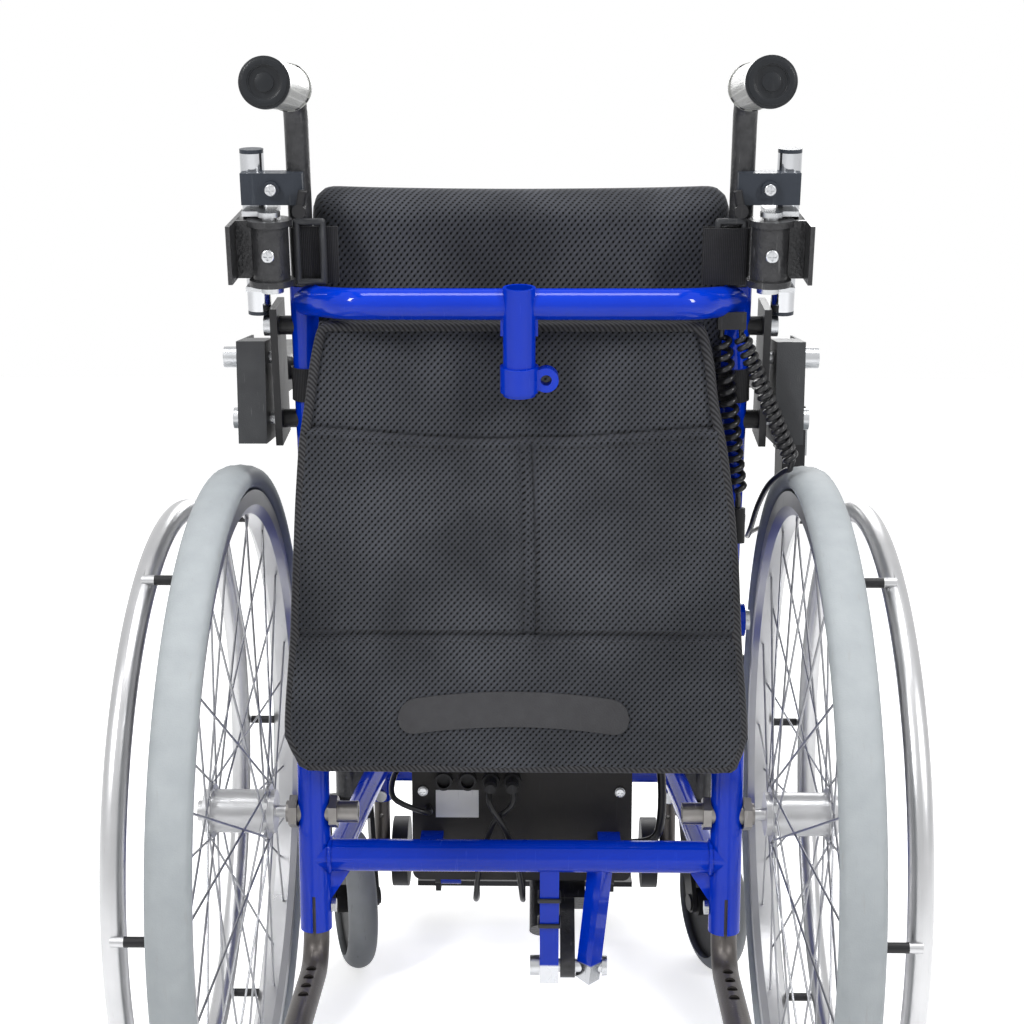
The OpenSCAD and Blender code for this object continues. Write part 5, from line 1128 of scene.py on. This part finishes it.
# Chest straps
# A 46 mm web is folded round each belt loop and sewn back on itself, with its free end tucked in.
loop_x, loop_off, loop_radius = 181.6, -16, 2.8 + 0.3 + 0.9
web_end, web_back = 180.8, 32.4
web_foot, web_wide, web_rows, web_half = 769.4, 45.4, 10, 0.75
shares = [k / 12 for k in range(13)]
for side in (-1, 1):
    line = []
    if side > 0:
        line += [(web_end - web_back * (1 - k), loop_off - loop_radius - 0.35 * math.sin(math.pi * k))
                 for k in shares]
    bend = [math.radians(-80 + 160 * k) for k in shares]
    line += [(loop_x + loop_radius * math.cos(a), loop_off + loop_radius * math.sin(a)) for a in bend]
    line += [(web_end - web_back * k, loop_off + loop_radius) for k in shares]
    points = []
    for i in range(web_rows + 1):
        z = web_foot + web_wide * i / web_rows
        puffed = 0.25 * math.sin(math.pi * i / web_rows)
        for k, (x, off) in enumerate(line):
            way = Vector(line[min(len(line) - 1, k + 1)]) - Vector(line[max(0, k - 1)])
            way.normalize()
            for t in (-web_half, web_half + puffed):
                points.append(on_back(side * (x + way.y * t), off - way.x * t, z))
    strap = shell(f"chest_strap_{side_name(side)}", points, band_faces(web_rows, len(line)))
    bpy.ops.object.shade_smooth_by_angle(angle=0.7)
    fit(strap, webbing, "backrest", "chest_straps" if side < 0 else None)

# Seat cushion
# A flat foam pad in the same mesh rests on the seat pan. Its upper face is crowned and its sides
# are drawn in a little at the middle, as a sewn cover draws them.
seat_size = (0.386, 0.376, 0.044)
seat_cushion = foam_form("seat_cushion_padded", seat_size, 0.017, 0.006)
puff(seat_cushion)
for v in seat_cushion.data.vertices:
    s, t, d = share_of(v.co, seat_size)
    crown = 4.2 * (1 - s * s) * (1 - t * t) if d > 0 else 0
    pull = 1 - 0.010 * (1 - t * t)
    draw = 1 - 0.008 * (1 - s * s)
    z = 506.6 + 22.2 * max(d, -0.97) + crown
    v.co = place(191.5 * s * pull, 260 + 186.5 * t * draw, z)
fit(seat_cushion, black_mesh, "seat", "seat_cushion")


# Armrest pads
# Foam pads under black vinyl, stapled to the armrest bars, with a moulded edge line.
pad_vinyl = solid_finish("pad_vinyl", (0.014, 0.014, 0.015), (0.024, 0.024, 0.026), 0.4, patch=0.02,
                         grain=0.0016, bump=0.6, scuff_colour=(0.05, 0.05, 0.05))
pad_play = Vector((0.001, 0.001, 0.001))
for side in (-1, 1):
    name = side_name(side)
    low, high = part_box(f"{name}_armrest_pad")
    size, middle = high - low, (high + low) / 2
    pad = foam_form(f"{name}_armrest_pad_padded", size - pad_play, 0.007, 0.003)
    for v in pad.data.vertices:
        s, t, d = share_of(v.co, size)
        groove = 0.0006 * ridge(d + 0.25, 0.12) if max(abs(s), abs(t)) > 0.9 else 0
        lift = 0.0004 * (1 - s * s) if d > 0 else 0
        v.co = middle + Vector((v.co.x - groove * s, v.co.y - groove * t, v.co.z + lift))
    fit(pad, pad_vinyl, f"{name}_armrest", f"{name}_armrest_pad")

# Knee pads
# Two rounded foam pads in the same vinyl are screwed to the knee bar and hold the rider's shins.
low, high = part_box("knee_pads")
knee_middle, knee_out, knee_size = (low + high) / 2, 0.08, (0.108, 0.0205, 0.118)
for side in (-1, 1):
    pad = foam_form(f"knee_pad_{side_name(side)}", knee_size, 0.0095, 0.003)
    for v in pad.data.vertices:
        s, d, t = share_of(v.co, knee_size)
        corner = max(0, abs(s) + abs(t) - 1.5) / 0.5
        squeeze = 1 - 0.1 * corner
        hollow = 0.0012 * (1 - s * s) * (1 - t * t) if d < 0 else 0
        v.co = Vector((side * knee_out + v.co.x * squeeze, knee_middle.y + v.co.y + hollow,
                       knee_middle.z + v.co.z * squeeze))
    fit(pad, pad_vinyl, "knee_support", "knee_pads" if side < 0 else None)

# Hand grips
# Grey vinyl grips are pushed over the handles. Small round dimples cover them between two black
# rings, and a black cap with a raised ring closes each end.
grip_vinyl, nodes, links, shader = blank_material("grip_vinyl")
tree = grip_vinyl.node_tree
low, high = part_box("handle_grips")
handle_x, dots_round, dot_pitch = post_x / 1000, 10, 0.0052
where, x, y, z = object_place(tree)
sideways = math_node(tree, "SUBTRACT", math_node(tree, "ABSOLUTE", x), handle_x)
upright = math_node(tree, "SUBTRACT", z, (low.z + high.z) / 2)
turn = math_node(tree, "ARCTAN2", sideways, upright)
around = math_node(tree, "SINE", math_node(tree, "MULTIPLY", turn, dots_round))
along = math_node(tree, "SINE", math_node(tree, "MULTIPLY", y, 2 * math.pi / dot_pitch))
dots = number_range(tree, math_node(tree, "MULTIPLY", around, along), 0.15, 0.4, smooth=True)
links.new(colour_mix(tree, dots, (0.30, 0.305, 0.29), (0.02, 0.02, 0.02)), shader.inputs["Base Color"])
links.new(bumped(tree, dots, 0.7, 0.0008, sunk=True), shader.inputs["Normal"])
shader.inputs["Roughness"].default_value = 0.38
dress(grip_vinyl, "handle_grips")

cap_black = solid_finish("cap_black", (0.006, 0.007, 0.009), (0.011, 0.013, 0.016), 0.34, coat=0.2,
                         patch=0.01, grain=0.001, bump=0.15)
cap_radius = 0.0186
cap_steps = ((0.002, -0.0012), (0.0042, 0.001), (0.001, 0.0016), (0.0035, 0), (0.0012, -0.0016))
for side in (-1, 1):
    deselect()
    bpy.ops.mesh.primitive_cylinder_add(vertices=64, radius=cap_radius, depth=0.006,
                                        rotation=(math.pi / 2, 0, 0))
    cap = bpy.context.object
    cap.name = f"grip_cap_{side_name(side)}"
    settle()
    select_rear_faces(cap)
    for inward, out in cap_steps:
        inset_and_draw(inward, out)
    bpy.ops.object.mode_set(mode="OBJECT")
    round_edges(cap, 0.0004, 2)
    bpy.ops.object.shade_smooth_by_angle(angle=0.5)
    cap.location = (side * handle_x, low.y + 0.0015, low.z + cap_radius)
    settle()
    fit(cap, cap_black, "backrest")
